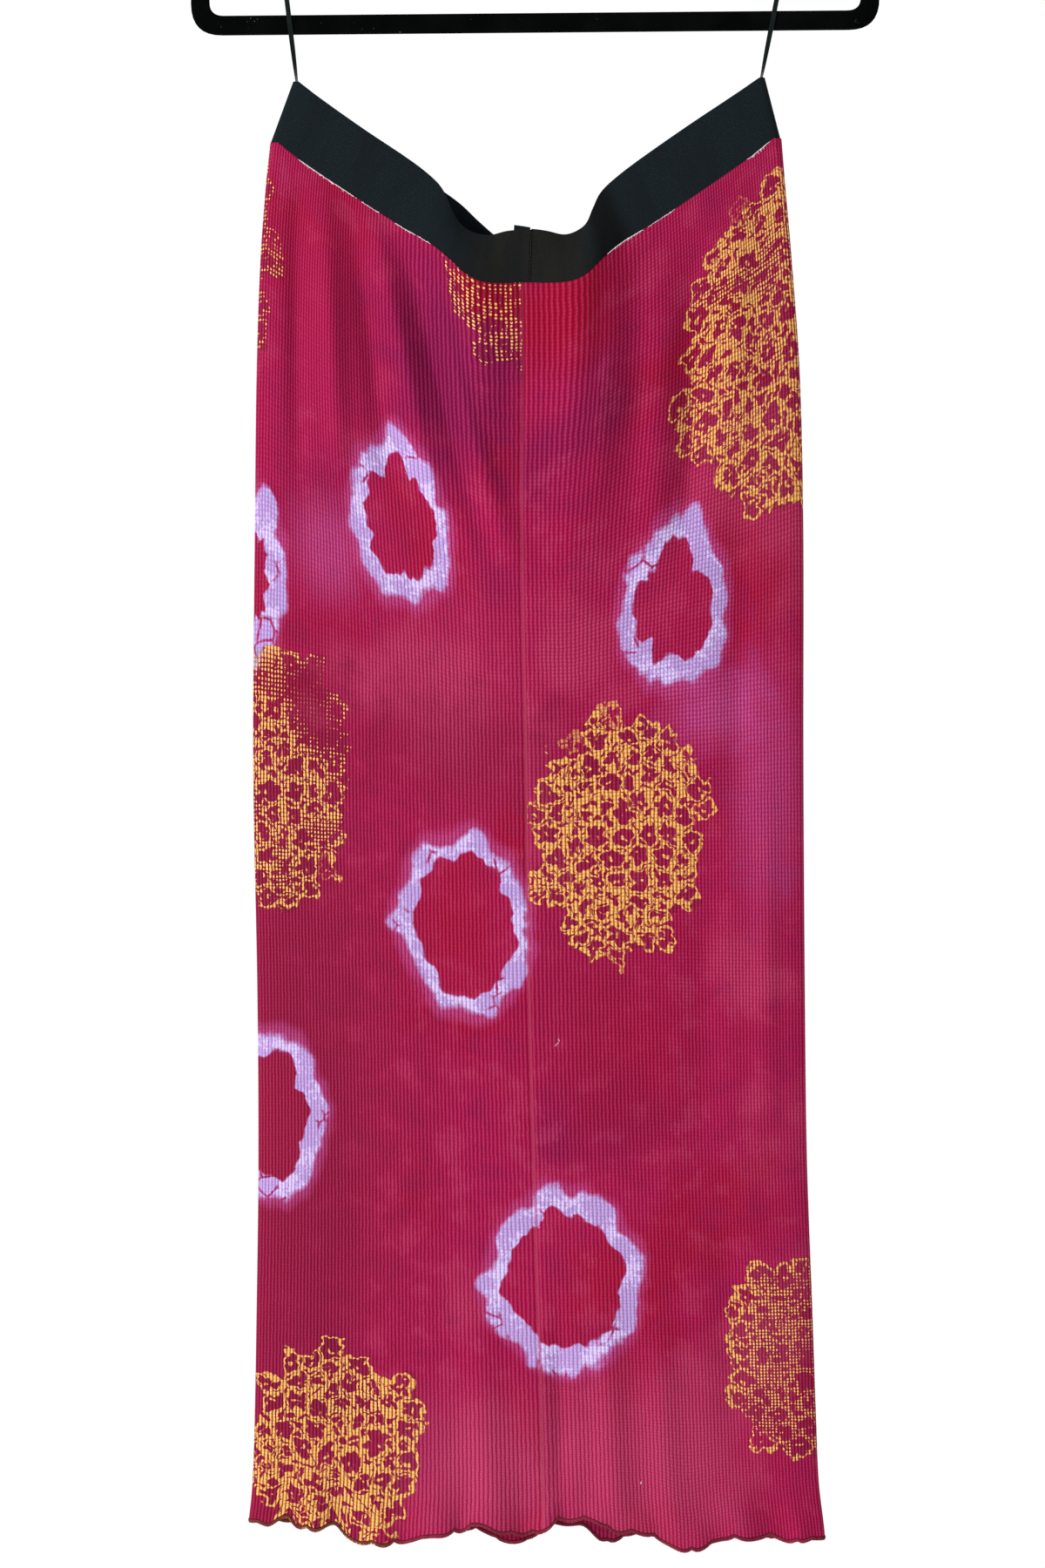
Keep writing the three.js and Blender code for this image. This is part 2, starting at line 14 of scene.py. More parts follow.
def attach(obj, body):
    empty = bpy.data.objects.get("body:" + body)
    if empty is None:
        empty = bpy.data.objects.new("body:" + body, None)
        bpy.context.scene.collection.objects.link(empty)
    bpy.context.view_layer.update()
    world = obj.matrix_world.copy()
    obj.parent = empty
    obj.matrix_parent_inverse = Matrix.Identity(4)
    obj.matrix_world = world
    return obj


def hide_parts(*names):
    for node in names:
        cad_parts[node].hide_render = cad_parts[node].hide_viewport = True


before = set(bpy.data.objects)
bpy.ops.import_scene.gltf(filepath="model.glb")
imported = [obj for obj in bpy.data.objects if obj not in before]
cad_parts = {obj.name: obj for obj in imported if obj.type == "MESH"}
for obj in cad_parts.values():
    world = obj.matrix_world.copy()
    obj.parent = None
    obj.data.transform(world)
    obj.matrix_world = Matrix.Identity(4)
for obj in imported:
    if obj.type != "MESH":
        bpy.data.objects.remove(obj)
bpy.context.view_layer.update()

# ---------------------------------------------------------------------------------------------
# The knit tube. One rectangle of cotton waffle knit, dyed in folds and knots and then printed, its
# two long edges joined by a single seam down the middle of the front. It hangs from the sagging
# waist seam, swings out over a soft bulge and falls nearly flat to the lettuce-edged hem.
# ---------------------------------------------------------------------------------------------
MM = 0.001
HANG_X = -7.0  # middle of the waist, in millimetres, as all the sizes in these tables


def named_rows(columns, *values):
    """A table whose columns are named once; a row may leave out its last columns."""
    return [dict(zip(columns.split(), row)) for row in values]


# The waist seam from the middle of a face to the side fold: across, height, and how far out. The
# left half mirrors the right one, but for what `left` adds.
FRONT_WAIST = named_rows(
    "across z out",
    (0, -394.8, 26), (12, -395.2, 27), (22, -395.2, 29.5), (31, -393.8, 31), (39, -389, 29),
    (47, -381, 23), (55, -373.3, 17), (64, -366.4, 12), (82, -355.6, 8.5), (115, -333.8, 7),
    (146, -312.4, 5), (160, -301, 4),
)
BACK_WAIST = named_rows(
    "across z out",
    (0, -404, 25), (14, -402.5, 25), (28, -395.5, 23), (42, -384, 18), (58, -370.5, 13),
    (76, -357, 9), (115, -331, 7), (146, -309.8, 5), (160, -301, 4),
)

# Where the side folds and the front seam of the hanging knit stand at each height.
OUTLINE = named_rows(
    "z left right seam",
    (-1215, -195.5, 178.5, -2.5), (-1200, -194, 177.5, -2.5), (-1170, -190.5, 174.2, -2.8),
    (-1130, -188.6, 172.8, -3.5), (-1060, -186.7, 171, -5.2), (-960, -184.6, 168.3, -7.1),
    (-850, -184.3, 167.9, -9.3), (-700, -185.7, 168.3, -10), (-550, -183.3, 169.5, -11.5),
    (-450, -181.3, 168, -11), (-380, -178.4, 163.6, -10.3), (-330, -174.4, 159.7, -10.3),
    (-300, -171, 157.5, -10.3),
)

# The wavy line of the hem, from the left fold (-1) past the middle (0) to the right fold (1).
FRONT_HEM = named_rows(
    "at z",
    (-1, -1191.5), (-0.96, -1194), (-0.91, -1188.5), (-0.86, -1193.5), (-0.8, -1195),
    (-0.74, -1192.5), (-0.68, -1201), (-0.62, -1205), (-0.45, -1204), (-0.38, -1200.5),
    (-0.28, -1197), (-0.22, -1193.5), (-0.15, -1199.5), (-0.04, -1199.5), (0.01, -1195),
    (0.05, -1191), (0.11, -1191.5), (0.19, -1192), (0.25, -1198), (0.36, -1200.5), (0.44, -1205),
    (0.52, -1211.5), (0.59, -1209.5), (0.66, -1204.5), (0.82, -1203.5), (0.92, -1206.5),
    (1, -1205.5),
)
BACK_HEM = named_rows(
    "at z",
    (-1, -1191.5), (-0.8, -1193), (-0.6, -1191), (-0.4, -1197), (-0.2, -1200), (-0.12, -1207.5),
    (-0.03, -1207.5), (0.05, -1198), (0.12, -1197.5), (0.18, -1199), (0.24, -1208), (0.31, -1206),
    (0.4, -1200), (0.5, -1198), (0.75, -1203), (1, -1205.5),
)

# Soft folds: each runs from top_at to end_at across a face, between two distances below the waist
# seam, with a half-width and a rise in millimetres. A rise below 0 is a trough.
FRONT_FOLDS = named_rows(
    "top_at end_at start end width rise",
    (-0.90, -0.86, 4, 230, 7, -5.2), (-0.80, -0.70, 2, 190, 8.5, 7.2),
    (-0.69, -0.50, 2, 180, 9.5, -6.4), (-0.61, -0.31, 2, 180, 9, 7.0),
    (-0.50, -0.10, 2, 190, 10, -6.8), (-0.40, 0.02, 8, 200, 9, 5.0), (0.36, 0.26, 5, 170, 12, 4.6),
    (0.53, 0.47, 20, 230, 11, 4.4), (0.66, 0.58, 15, 240, 10, -6.8), (0.84, 0.76, 10, 200, 10, 3.4),
    (0.80, 0.78, 190, 430, 11, -3.6), (0.90, 0.88, 380, 650, 9, 2.8),
    (0.66, 0.64, 380, 660, 12, -2.8), (-0.5, -0.46, 420, 660, 20, 2.0),
    (-0.22, -0.18, 660, 850, 12, 4.0), (0.08, 0.05, 640, 850, 7, -4.0),
    (0.24, 0.27, 640, 850, 10, 4.0), (0.44, 0.47, 680, 860, 10, 3.4),
    (-0.66, -0.7, 560, 850, 18, -2.4), (0.70, 0.73, 620, 860, 12, -3.2),
)
BACK_FOLDS = named_rows(
    "top_at end_at start end width rise",
    (-0.84, -0.7, 15, 190, 9, -2.6), (-0.68, -0.5, 10, 170, 10, 3.0),
    (-0.5, -0.3, 5, 180, 11, -3.0), (0.46, 0.28, 5, 190, 11, -3.0), (0.64, 0.5, 15, 160, 10, 2.6),
    (0.84, 0.76, 10, 230, 10, -2.4), (-0.12, -0.1, 330, 600, 16, 2.0),
    (0.56, 0.54, 300, 560, 18, -1.8), (-0.6, -0.56, 560, 830, 18, 2.6),
    (0.2, 0.24, 600, 830, 18, -2.4),
)

# The hem's mean line, how far above it each kind of waviness starts, and how far that goes.
HEM = {"left": -1191, "middle": -1201, "right": -1205, "line_start": 90, "wave_start": 60,
       "frill_start": 22, "wave_out": 1.8, "scallops": 22, "frill_out": 3.0, "rise": 1.4,
       "droop": 3.6}
SEAM_DIP = {"half_face": 170, "width": 2.2, "deep": 0.7, "start": 20}
FOLD_EDGE = 0.1  # share of a face, next to a side fold, where the soft folds fade out
SIDE_RADIUS = {"waist": 4.0, "body": 5.0}
BELLY = {"front": 9.0, "back": 8.0, "power": 0.6}
BULGE = {"peak": 60.0, "swell": 0.16, "end": 270.0}
DRAPE = 180.0  # below the waist seam, where the knit reaches its even spread
SEAM_AT = -3.3  # the front seam, from the middle of the waist
SEAM_GAP = 0.05  # half the gap between the knit and the elastic
CLOTH_LENGTH = 806.0  # cut length of the knit, from waist seam to hem
STRETCH_END = 400.0  # the sides, which carry the weight, are stretched down to here
KNIT_THICK = 1.8
SHARP_ANGLE = 48
KNIT_GRID = {"front": 204, "fold": 8, "back": 140, "rows": 128, "crowd": 0.07}


def smooth(t):
    t = np.clip(t, 0, 1)
    return t * t * (3 - 2 * t)


def through(keys, values, at):
    """A smooth curve through the points (key, value), read at many places."""
    keys, values, at = (np.asarray(x, float) for x in (keys, values, at))
    padded_keys = np.concatenate([keys[:1], keys, keys[-1:]])
    padded_values = np.concatenate([values[:1], values, values[-1:]])
    slope = (padded_values[2:] - padded_values[:-2]) / (padded_keys[2:] - padded_keys[:-2])
    i = np.clip(np.searchsorted(keys, at, side="right") - 1, 0, len(keys) - 2)
    step = keys[i + 1] - keys[i]
    t = np.clip((at - keys[i]) / step, 0, 1)
    return (
        (2 * t**3 - 3 * t**2 + 1) * values[i]
        + (t**3 - 2 * t**2 + t) * step * slope[i]
        + (3 * t**2 - 2 * t**3) * values[i + 1]
        + (t**3 - t**2) * step * slope[i + 1]
    )


def column_of(table, key, column, at):
    return through([row[key] for row in table], [row[column] for row in table], at)


class Edge:
    """One edge of a face of the tube, from the left fold to the right fold, by its length."""

    def __init__(self, table, side_y):
        half = np.array([[row["across"], side_y * row["out"], row["z"]] for row in table], float)
        left = half[:0:-1] * [-1, 1, 1]
        left[:, 0] -= [row.get("left", 0) for row in table[:0:-1]]
        self.points = np.vstack([left, half]) + [HANG_X, 0, 0]
        chord = np.linalg.norm(np.diff(self.points, axis=0), axis=1)
        self.lengths = np.concatenate([[0], np.cumsum(chord)])
        self.length = self.lengths[-1]

    def at(self, share):
        place = np.asarray(share) * self.length
        return np.stack([through(self.lengths, self.points[:, k], place) for k in range(3)], -1)


class Loop:
    """A closed edge of the tube: front, right fold, back and left fold."""

    def __init__(self, front, back, join_x):
        self.front, self.back = Edge(front, -1), Edge(back, 1)
        self.radius = front[-1]["out"]
        self.middle = 0.5 + join_x / self.front.length

    def at(self, stations):
        place = np.zeros((len(stations["at"]), 3))
        at, turn, face = stations["at"], stations["turn"], stations["face"]
        middle = self.middle
        share = np.where(at < 0, middle * (1 + at), middle + (1 - middle) * at)
        for name, edge, part in (("front", self.front, share), ("back", self.back, (1 + at) / 2)):
            chosen = face == name
            place[chosen] = edge.at(part[chosen])
        for name, sign in (("right", 1), ("left", -1)):
            chosen = face == name
            angle = math.pi * turn[chosen]
            start = self.front.at([1.0 if sign > 0 else 0.0])[0]
            place[chosen, 0] = start[0] + sign * self.radius * np.sin(angle)
            place[chosen, 1] = -self.radius * np.cos(angle)
            place[chosen, 2] = start[2]
        return place


def stations_round(front, fold, back):
    """Once round the tube from the front seam, over the right fold, the back and the left fold."""
    half = front // 2
    at = [np.linspace(0, 1, half + 1)]
    face, turn = [["front"] * (half + 1)], [np.zeros(half + 1)]
    inner = np.arange(1, fold) / fold
    at += [np.ones(fold - 1), np.linspace(1, -1, back + 1), -np.ones(fold - 1)]
    face += [["right"] * (fold - 1), ["back"] * (back + 1), ["left"] * (fold - 1)]
    turn += [inner, np.zeros(back + 1), inner[::-1]]
    at.append(np.linspace(-1, 0, half + 1)[:-1])
    face.append(["front"] * half)
    turn.append(np.zeros(half))
    return {"at": np.concatenate(at), "turn": np.concatenate(turn), "face": np.concatenate(face)}


def share_round(stations):
    """The share of the cloth's width at each station, from 0 at the seam to 1 back at the seam."""
    widths = {"front": 0.476, "fold": 0.022}
    at, turn, face = stations["at"], stations["turn"], stations["face"]
    half, fold = widths["front"] / 2, widths["fold"]
    back = 1 - 2 * half - 2 * fold
    share = np.where(face == "front", np.where(at >= 0, at * half, 1 + at * half), 0.0)
    first = np.arange(len(at)) < len(at) // 2
    share = np.where((face == "front") & (at == 0) & ~first, 1.0, share)
    share = np.where(face == "right", half + fold * turn, share)
    share = np.where(face == "back", half + fold + back * (1 - at) / 2, share)
    return np.where(face == "left", 1 - half - fold * turn, share)


waist_loop = Loop(FRONT_WAIST, BACK_WAIST, SEAM_AT)


def folds_at(folds, at, below, half_width):
    out = np.zeros_like(below)
    for fold in folds:
        along = (below - fold["start"]) / (fold["end"] - fold["start"])
        centre = fold["top_at"] + (fold["end_at"] - fold["top_at"]) * along
        away = (at - centre) * half_width / fold["width"]
        swell = np.where((along > 0) & (along < 1), np.sin(math.pi * np.clip(along, 0, 1)), 0)
        out += fold["rise"] * swell * np.exp(-away * away)
    return out


def hem_frill(at, seed):
    """The short uneven scallops that the stretched overlock gives the hem: in and out, and down."""
    rng = np.random.default_rng(seed)
    count = HEM["scallops"]
    knots = np.linspace(-1, 1, count)
    phase = through(knots, np.arange(count) + rng.uniform(-0.35, 0.35, count), at)
    size = through(knots, rng.uniform(0.3, 1.1, count), at)
    return size * np.sin(math.pi * phase), size * np.abs(np.sin(math.pi * phase)) ** 0.7


def knit_surface(stations, downs):
    """Points of the hanging knit: rows by their distance down the cloth, columns by station."""
    top = waist_loop.at(stations)
    at, turn, face = stations["at"], stations["turn"], stations["face"]
    front = face != "back"
    hem = np.where(
        front, column_of(FRONT_HEM, "at", "z", at), column_of(BACK_HEM, "at", "z", at)
    )
    left_level = HEM["left"] + (HEM["middle"] - HEM["left"]) * smooth(at + 1)
    right_level = HEM["middle"] + (HEM["right"] - HEM["middle"]) * smooth(at)
    level = np.where(at < 0, left_level, right_level)
    down = np.asarray(downs, float)[:, None]
    extra = (top[:, 2] - level - CLOTH_LENGTH)[None]
    z = top[:, 2][None] - down - extra * smooth(down / STRETCH_END)
    z = z + (hem - level)[None] * smooth(1 - (CLOTH_LENGTH - down) / HEM["line_start"])
    below = top[:, 2][None] - z
    spread = smooth(below / DRAPE)
    radius = SIDE_RADIUS["waist"] + (SIDE_RADIUS["body"] - SIDE_RADIUS["waist"]) * spread
    left = column_of(OUTLINE, "z", "left", z) + radius
    right = column_of(OUTLINE, "z", "right", z) - radius
    seam = np.where(face == "front", column_of(OUTLINE, "z", "seam", z), (left + right) / 2)
    even = seam + np.where(at < 0, seam - left, right - seam) * at
    level_left = column_of(OUTLINE, "z", "left", top[:, 2]) + SIDE_RADIUS["waist"]
    level_right = column_of(OUTLINE, "z", "right", top[:, 2]) - SIDE_RADIUS["waist"]
    pulled = left + (top[:, 0] - level_left) / (level_right - level_left) * (right - left)
    x = pulled + (even - pulled) * spread
    crown = np.clip(1 - at * at, 0, 1) ** BELLY["power"]
    belly = np.where(front, BELLY["front"], BELLY["back"]) * crown
    swell = 1 + BULGE["swell"] * below / BULGE["peak"] * np.exp(1 - below / BULGE["peak"])
    bulge = np.clip(np.abs(top[:, 1]) - SIDE_RADIUS["waist"], 0, None)
    bulge = bulge * swell * (1 - smooth(below / BULGE["end"]))
    half_width = (right - left) / 2
    folds = np.where(
        front,
        folds_at(FRONT_FOLDS, at, below, half_width),
        folds_at(BACK_FOLDS, at, below, half_width),
    )
    near_hem = smooth(1 - (CLOTH_LENGTH - down) / HEM["wave_start"])
    waves = HEM["wave_out"] * np.where(
        front, np.sin(9 * math.pi * at), np.sin(7 * math.pi * at + 1)
    )
    at_hem = smooth(1 - (CLOTH_LENGTH - down) / HEM["frill_start"])
    frill, droop = (np.where(front, *both) for both in zip(hem_frill(at, 3), hem_frill(at, 8)))
    inner = smooth((1 - np.abs(at)) / FOLD_EDGE)
    sewn = np.exp(-((at * SEAM_DIP["half_face"] / SEAM_DIP["width"]) ** 2))
    sewn = SEAM_DIP["deep"] * sewn * (face == "front") * smooth(below / SEAM_DIP["start"])
    out = radius + bulge + belly * spread + inner * (folds + near_hem * waves) - sewn
    out = out + HEM["frill_out"] * at_hem * frill * np.clip(inner, 0.25, 1)
    side = np.where(front, -1.0, 1.0)
    y = side * out
    z = z + at_hem * (HEM["rise"] - HEM["droop"] * droop) * np.clip(inner, 0.3, 1)
    for name, sign in (("right", 1), ("left", -1)):
        chosen = face == name
        angle = math.pi * turn[chosen]
        limit = right if sign > 0 else left
        x[:, chosen] = limit[:, chosen] + sign * radius[:, chosen] * np.sin(angle)
        y[:, chosen] = -radius[:, chosen] * np.cos(angle)
    return np.stack([x, y, z], -1)


def outward(grid, closed=True):
    """The outward normal at each point of a grid that runs down and once round."""
    if closed:
        across = np.roll(grid, -1, 1) - np.roll(grid, 1, 1)
    else:
        across = np.gradient(grid, axis=1)
    down = np.gradient(grid, axis=0)
    normal = np.cross(down, across)
    return normal / np.linalg.norm(normal, axis=-1, keepdims=True)


def new_piece(name, points, faces, material, uv=None):
    """A mesh piece in metres from points in millimetres, with its cloth coordinates if it has any."""
    mesh = bpy.data.meshes.new(name)
    mesh.from_pydata((np.asarray(points) * MM).tolist(), [], [list(f) for f in faces])
    mesh.polygons.foreach_set("use_smooth", [True] * len(mesh.polygons))
    if uv is not None:
        layer = mesh.uv_layers.new(name="cloth")
        layer.data.foreach_set("uv", np.asarray(uv, np.float32).ravel())
    mesh.set_sharp_from_angle(angle=math.radians(SHARP_ANGLE))
    mesh.materials.append(material)
    piece = bpy.data.objects.new(name, mesh)
    bpy.context.scene.collection.objects.link(piece)
    return piece


def shell(grid, thick, around_uv, down_uv, closed=True):
    """Points, faces and cloth coordinates of a wall about a grid, with its rims closed."""
    rows, columns = grid.shape[:2]
    normal = outward(grid, closed)
    points = np.vstack(
        [(grid + normal * thick / 2).reshape(-1, 3), (grid - normal * thick / 2).reshape(-1, 3)]
    )
    spans = columns if closed else columns - 1
    r, c = np.meshgrid(np.arange(rows - 1), np.arange(spans), indexing="ij")
    r, c = r.ravel(), c.ravel()
    d = (c + 1) % columns
    u0, u1 = around_uv[c], np.append(around_uv, around_uv[-1])[c + 1]
    v0, v1 = down_uv[r], down_uv[r + 1]
    inner = rows * columns
    quads = [np.stack([r * columns + c, (r + 1) * columns + c, (r + 1) * columns + d,
                       r * columns + d], -1)]
    uv = [np.stack([u0, v0, u0, v1, u1, v1, u1, v0], -1)]
    quads.append(quads[0][:, ::-1] + inner)
    uv.append(np.stack([u1, v0, u1, v1, u0, v1, u0, v0], -1))
    c = np.arange(spans)
    d = (c + 1) % columns
    u0, u1 = around_uv[c], np.append(around_uv, around_uv[-1])[c + 1]
    for row, flip in ((0, False), (rows - 1, True)):
        o = row * columns
        quad = np.stack([o + c, o + d, inner + o + d, inner + o + c], -1)
        v = np.full(spans, down_uv[row])
        edge_uv = np.stack([u0, v, u1, v, u1, v, u0, v], -1)
        quads.append(quad[:, ::-1] if flip else quad)
        uv.append(edge_uv.reshape(-1, 4, 2)[:, ::-1].reshape(-1, 8) if flip else edge_uv)
    if not closed:
        r = np.arange(rows - 1)
        for column, flip in ((0, False), (columns - 1, True)):
            a, b = r * columns + column, (r + 1) * columns + column
            quad = np.stack([a, inner + a, inner + b, b], -1)
            u = np.full(rows - 1, around_uv[column])
            edge_uv = np.stack([u, down_uv[r], u, down_uv[r], u, down_uv[r + 1], u,
                                down_uv[r + 1]], -1)
            quads.append(quad[:, ::-1] if flip else quad)
            uv.append(edge_uv.reshape(-1, 4, 2)[:, ::-1].reshape(-1, 8) if flip else edge_uv)
    return points, np.vstack(quads), np.vstack(uv)


class Nodes:
    """Short calls to lay out a node tree: each returns the node's first output."""

    def __init__(self, tree):
        self.tree = tree

    def add(self, kind, inputs=(), **settings):
        node = self.tree.nodes.new("ShaderNode" + kind)
        for name, value in settings.items():
            setattr(node, name, value)
        for key, value in dict(inputs).items():
            self.feed(node.inputs[key], value)
        return node

    def feed(self, socket, value):
        if isinstance(value, bpy.types.NodeSocket):
            self.tree.links.new(value, socket)
        else:
            socket.default_value = value

    def math(self, operation, *values, clamp=False):
        node = self.add("Math", enumerate(values), operation=operation, use_clamp=clamp)
        return node.outputs[0]

    def vector(self, operation, *values):
        node = self.add("VectorMath", enumerate(values), operation=operation)
        return node.outputs["Value" if operation in ("LENGTH", "DOT_PRODUCT") else "Vector"]

    def step(self, value, low, high, to_low=0.0, to_high=1.0):
        node = self.add(
            "MapRange",
            {"Value": value, "From Min": low, "From Max": high, "To Min": to_low,
             "To Max": to_high},
            interpolation_type="SMOOTHSTEP",
        )
        return node.outputs[0]

    def noise(self, vector, scale, detail=2.0, roughness=0.5, dimensions="2D"):
        node = self.add(
            "TexNoise",
            {"Vector": vector, "Scale": scale, "Detail": detail, "Roughness": roughness},
            noise_dimensions=dimensions,
        )
        return node.outputs["Fac"]

    def blend(self, share, first, second, blend_type="MIX"):
        node = self.add("Mix", data_type="RGBA", blend_type=blend_type)
        for key, value in ((0, share), (6, first), (7, second)):
            self.feed(node.inputs[key], value)
        return node.outputs[2]

    def bump(self, height, strength, distance):
        node = self.add("Bump", {"Height": height, "Strength": strength, "Distance": distance})
        return node.outputs[0]

    def parts(self, vector):
        return self.add("SeparateXYZ", {0: vector}).outputs

    def on_cloth(self):
        """Where a point lies on its flat cloth, in metres, whole and as its two parts."""
        cloth = self.add("UVMap", uv_map="cloth").outputs[0]
        return cloth, self.parts(cloth)

    def on_piece(self):
        return self.add("TexCoord").outputs["Object"]


def new_group(name, inputs, outputs):
    """A shader node group with named sockets: (name, type, default) and (name, type)."""
    tree = bpy.data.node_groups.new(name, "ShaderNodeTree")
    for socket, kind, default in inputs:
        made = tree.interface.new_socket(socket, in_out="INPUT", socket_type="NodeSocket" + kind)
        made.default_value = default
    for socket, kind in outputs:
        tree.interface.new_socket(socket, in_out="OUTPUT", socket_type="NodeSocket" + kind)
    begin = tree.nodes.new("NodeGroupInput")
    end = tree.nodes.new("NodeGroupOutput")
    return Nodes(tree), begin.outputs, end.inputs


def use_group(nodes, tree, **inputs):
    node = nodes.tree.nodes.new("ShaderNodeGroup")
    node.node_tree = tree
    for name, value in inputs.items():
        nodes.feed(node.inputs[name.replace("_", " ")], value)
    return node.outputs


def new_material(name, **plain):
    """A material, its node tree and its shader's inputs, some of them set to plain values."""
    material = bpy.data.materials.new(name)
    material.use_nodes = True
    shader = material.node_tree.nodes["Principled BSDF"].inputs
    for socket, value in plain.items():
        shader[socket.replace("_", " ")].default_value = value
    return material, Nodes(material.node_tree), shader


# Waffle knit: upright ribs crossed by rows, both a little uneven.
waffle, given, made = new_group(
    "waffle knit",
    [("Cloth", "Vector", (0, 0, 0)), ("Pitch", "Float", 0.0023)],
    [("Height", "Float"), ("Rib", "Float"), ("Row", "Float")],
)
wobble = waffle.noise(given["Cloth"], 130.0, 1.0)
place = waffle.vector("DIVIDE", given["Cloth"], waffle.add(
    "CombineXYZ", {0: given["Pitch"], 1: given["Pitch"], 2: 1.0}).outputs[0])
cell = waffle.parts(place)
turns = []
for axis, shift in ((0, 0.26), (1, 0.50)):
    moved = waffle.math("MULTIPLY_ADD", wobble, shift, cell[axis])
    turns.append(waffle.math("MULTIPLY_ADD", waffle.math(
        "COSINE", waffle.math("MULTIPLY", moved, 2 * math.pi)), 0.5, 0.5))
rib, row = waffle.math("POWER", turns[0], 0.6), waffle.math("POWER", turns[1], 0.5)
lifted = waffle.math("MULTIPLY_ADD", row, 0.40, 0.60)
waffle.feed(made["Height"], waffle.math("MULTIPLY", rib, lifted))
waffle.feed(made["Rib"], rib)
waffle.feed(made["Row"], row)
waffle_tree = waffle.tree

# The nearer of two tied rings: where a point of the cloth lies in it, and the ring's own sizes.
nearer, given, made = new_group(
    "nearer ring",
    [("Cloth", "Vector", (0, 0, 0)), ("Centre", "Vector", (0, 0, 0)),
     ("Radius", "Vector", (0.03, 0.05, 1)), ("Facts", "Vector", (0.04, 0.01, 0)),
     ("Other Place", "Vector", (9, 9, 0)), ("Other Facts", "Vector", (0.04, 0.01, 0))],
    [("Place", "Vector"), ("Facts", "Vector")],
)
inside = nearer.vector("DIVIDE", nearer.vector("SUBTRACT", given["Cloth"], given["Centre"]),
                       given["Radius"])
closer = nearer.math("LESS_THAN", nearer.vector("LENGTH", inside),
                     nearer.vector("LENGTH", given["Other Place"]))
for name, own, other in (("Place", inside, given["Other Place"]),
                         ("Facts", given["Facts"], given["Other Facts"])):
    chosen = nearer.add("Mix", data_type="VECTOR")
    for key, value in ((0, closer), (4, other), (5, own)):
        nearer.feed(chosen.inputs[key], value)
    nearer.feed(made[name], chosen.outputs[1])
nearer_tree = nearer.tree

# Tied-resist ring: where the cloth was bound, the dye stays away in an uneven beaded band, with
# cracks between the beads.
BEADS = 92.0  # in a metre
ring, given, made = new_group(
    "tied ring",
    [("Cloth", "Vector", (0, 0, 0)), ("Place", "Vector", (0, 0, 0)),
     ("Facts", "Vector", (0.04, 0.01, 0))],
    [("Ring", "Float"), ("Heart", "Float"), ("Haze", "Float"), ("Inside", "Float")],
)
facts = ring.parts(given["Facts"])
heading = ring.vector("NORMALIZE", given["Place"])
heading = ring.vector("ADD", heading, ring.add("CombineXYZ", {2: facts[2]}).outputs[0])
wander = ring.math("SUBTRACT", ring.noise(heading, 1.5, 2.0, dimensions="3D"), 0.5)
reach = ring.math("MULTIPLY_ADD", wander, 0.80, ring.vector("LENGTH", given["Place"]))
signed = ring.math("MULTIPLY", ring.math("SUBTRACT", reach, 1.0), facts[0])
knots = ring.add("TexVoronoi", {"Vector": given["Cloth"], "Scale": BEADS, "Randomness": 1.0},
                 voronoi_dimensions="2D")
cracks = ring.add("TexVoronoi", {"Vector": given["Cloth"], "Scale": BEADS, "Randomness": 1.0},
                  voronoi_dimensions="2D", feature="DISTANCE_TO_EDGE")
random = ring.add("SeparateColor", {0: knots.outputs["Color"]}).outputs
fine = ring.math("SUBTRACT", ring.noise(given["Cloth"], 300.0, 2.0, 0.65), 0.5)
lumps = ring.math("SUBTRACT", ring.noise(given["Cloth"], 60.0, 0.5), 0.5)
thick = ring.math("MULTIPLY_ADD", ring.noise(heading, 2.6, 1.0, dimensions="3D"), 1.7, 0.15)
thick = ring.math("MULTIPLY", thick, facts[1])
inner_edge = ring.math("MULTIPLY_ADD", ring.math("SUBTRACT", random[0], 0.5), 0.10,
                       ring.math("MULTIPLY", lumps, 0.6))
inner_edge = ring.math("MULTIPLY", ring.math("SUBTRACT", inner_edge, 0.5), thick)
inner_edge = ring.math("MULTIPLY_ADD", fine, 0.0016, inner_edge)
outer_edge = ring.math("MULTIPLY", ring.math("MULTIPLY_ADD", lumps, -0.9, 0.5), thick)
outer_edge = ring.math("MULTIPLY_ADD", fine, 0.0022, outer_edge)
inside = ring.step(ring.math("SUBTRACT", signed, inner_edge), -0.0007, 0.0010)
outside = ring.step(ring.math("SUBTRACT", signed, outer_edge), -0.0022, 0.0022, 1.0, 0.0)
gap = ring.math("MULTIPLY_ADD", fine, 0.12, cracks.outputs["Distance"])
crack = ring.step(gap, 0.02, 0.11)
whole = ring.step(ring.noise(given["Cloth"], 34.0, 0.0), 0.32, 0.36)
mask = ring.math("MULTIPLY", ring.math("MULTIPLY", inside, outside),
                 ring.math("MAXIMUM", crack, whole))
ring.feed(made["Ring"], mask)
ring.feed(made["Heart"], ring.math("MULTIPLY", mask, ring.step(
    ring.math("ADD", fine, lumps), -0.06, 0.16)))
ring.feed(made["Haze"], ring.step(ring.math("ABSOLUTE", ring.math("SUBTRACT", signed, 0.004)),
                                  0.003, 0.011, 1.0, 0.0))
ring.feed(made["Inside"], ring.step(signed, -0.006, 0.0, 1.0, 0.0))
ring_tree = ring.tree

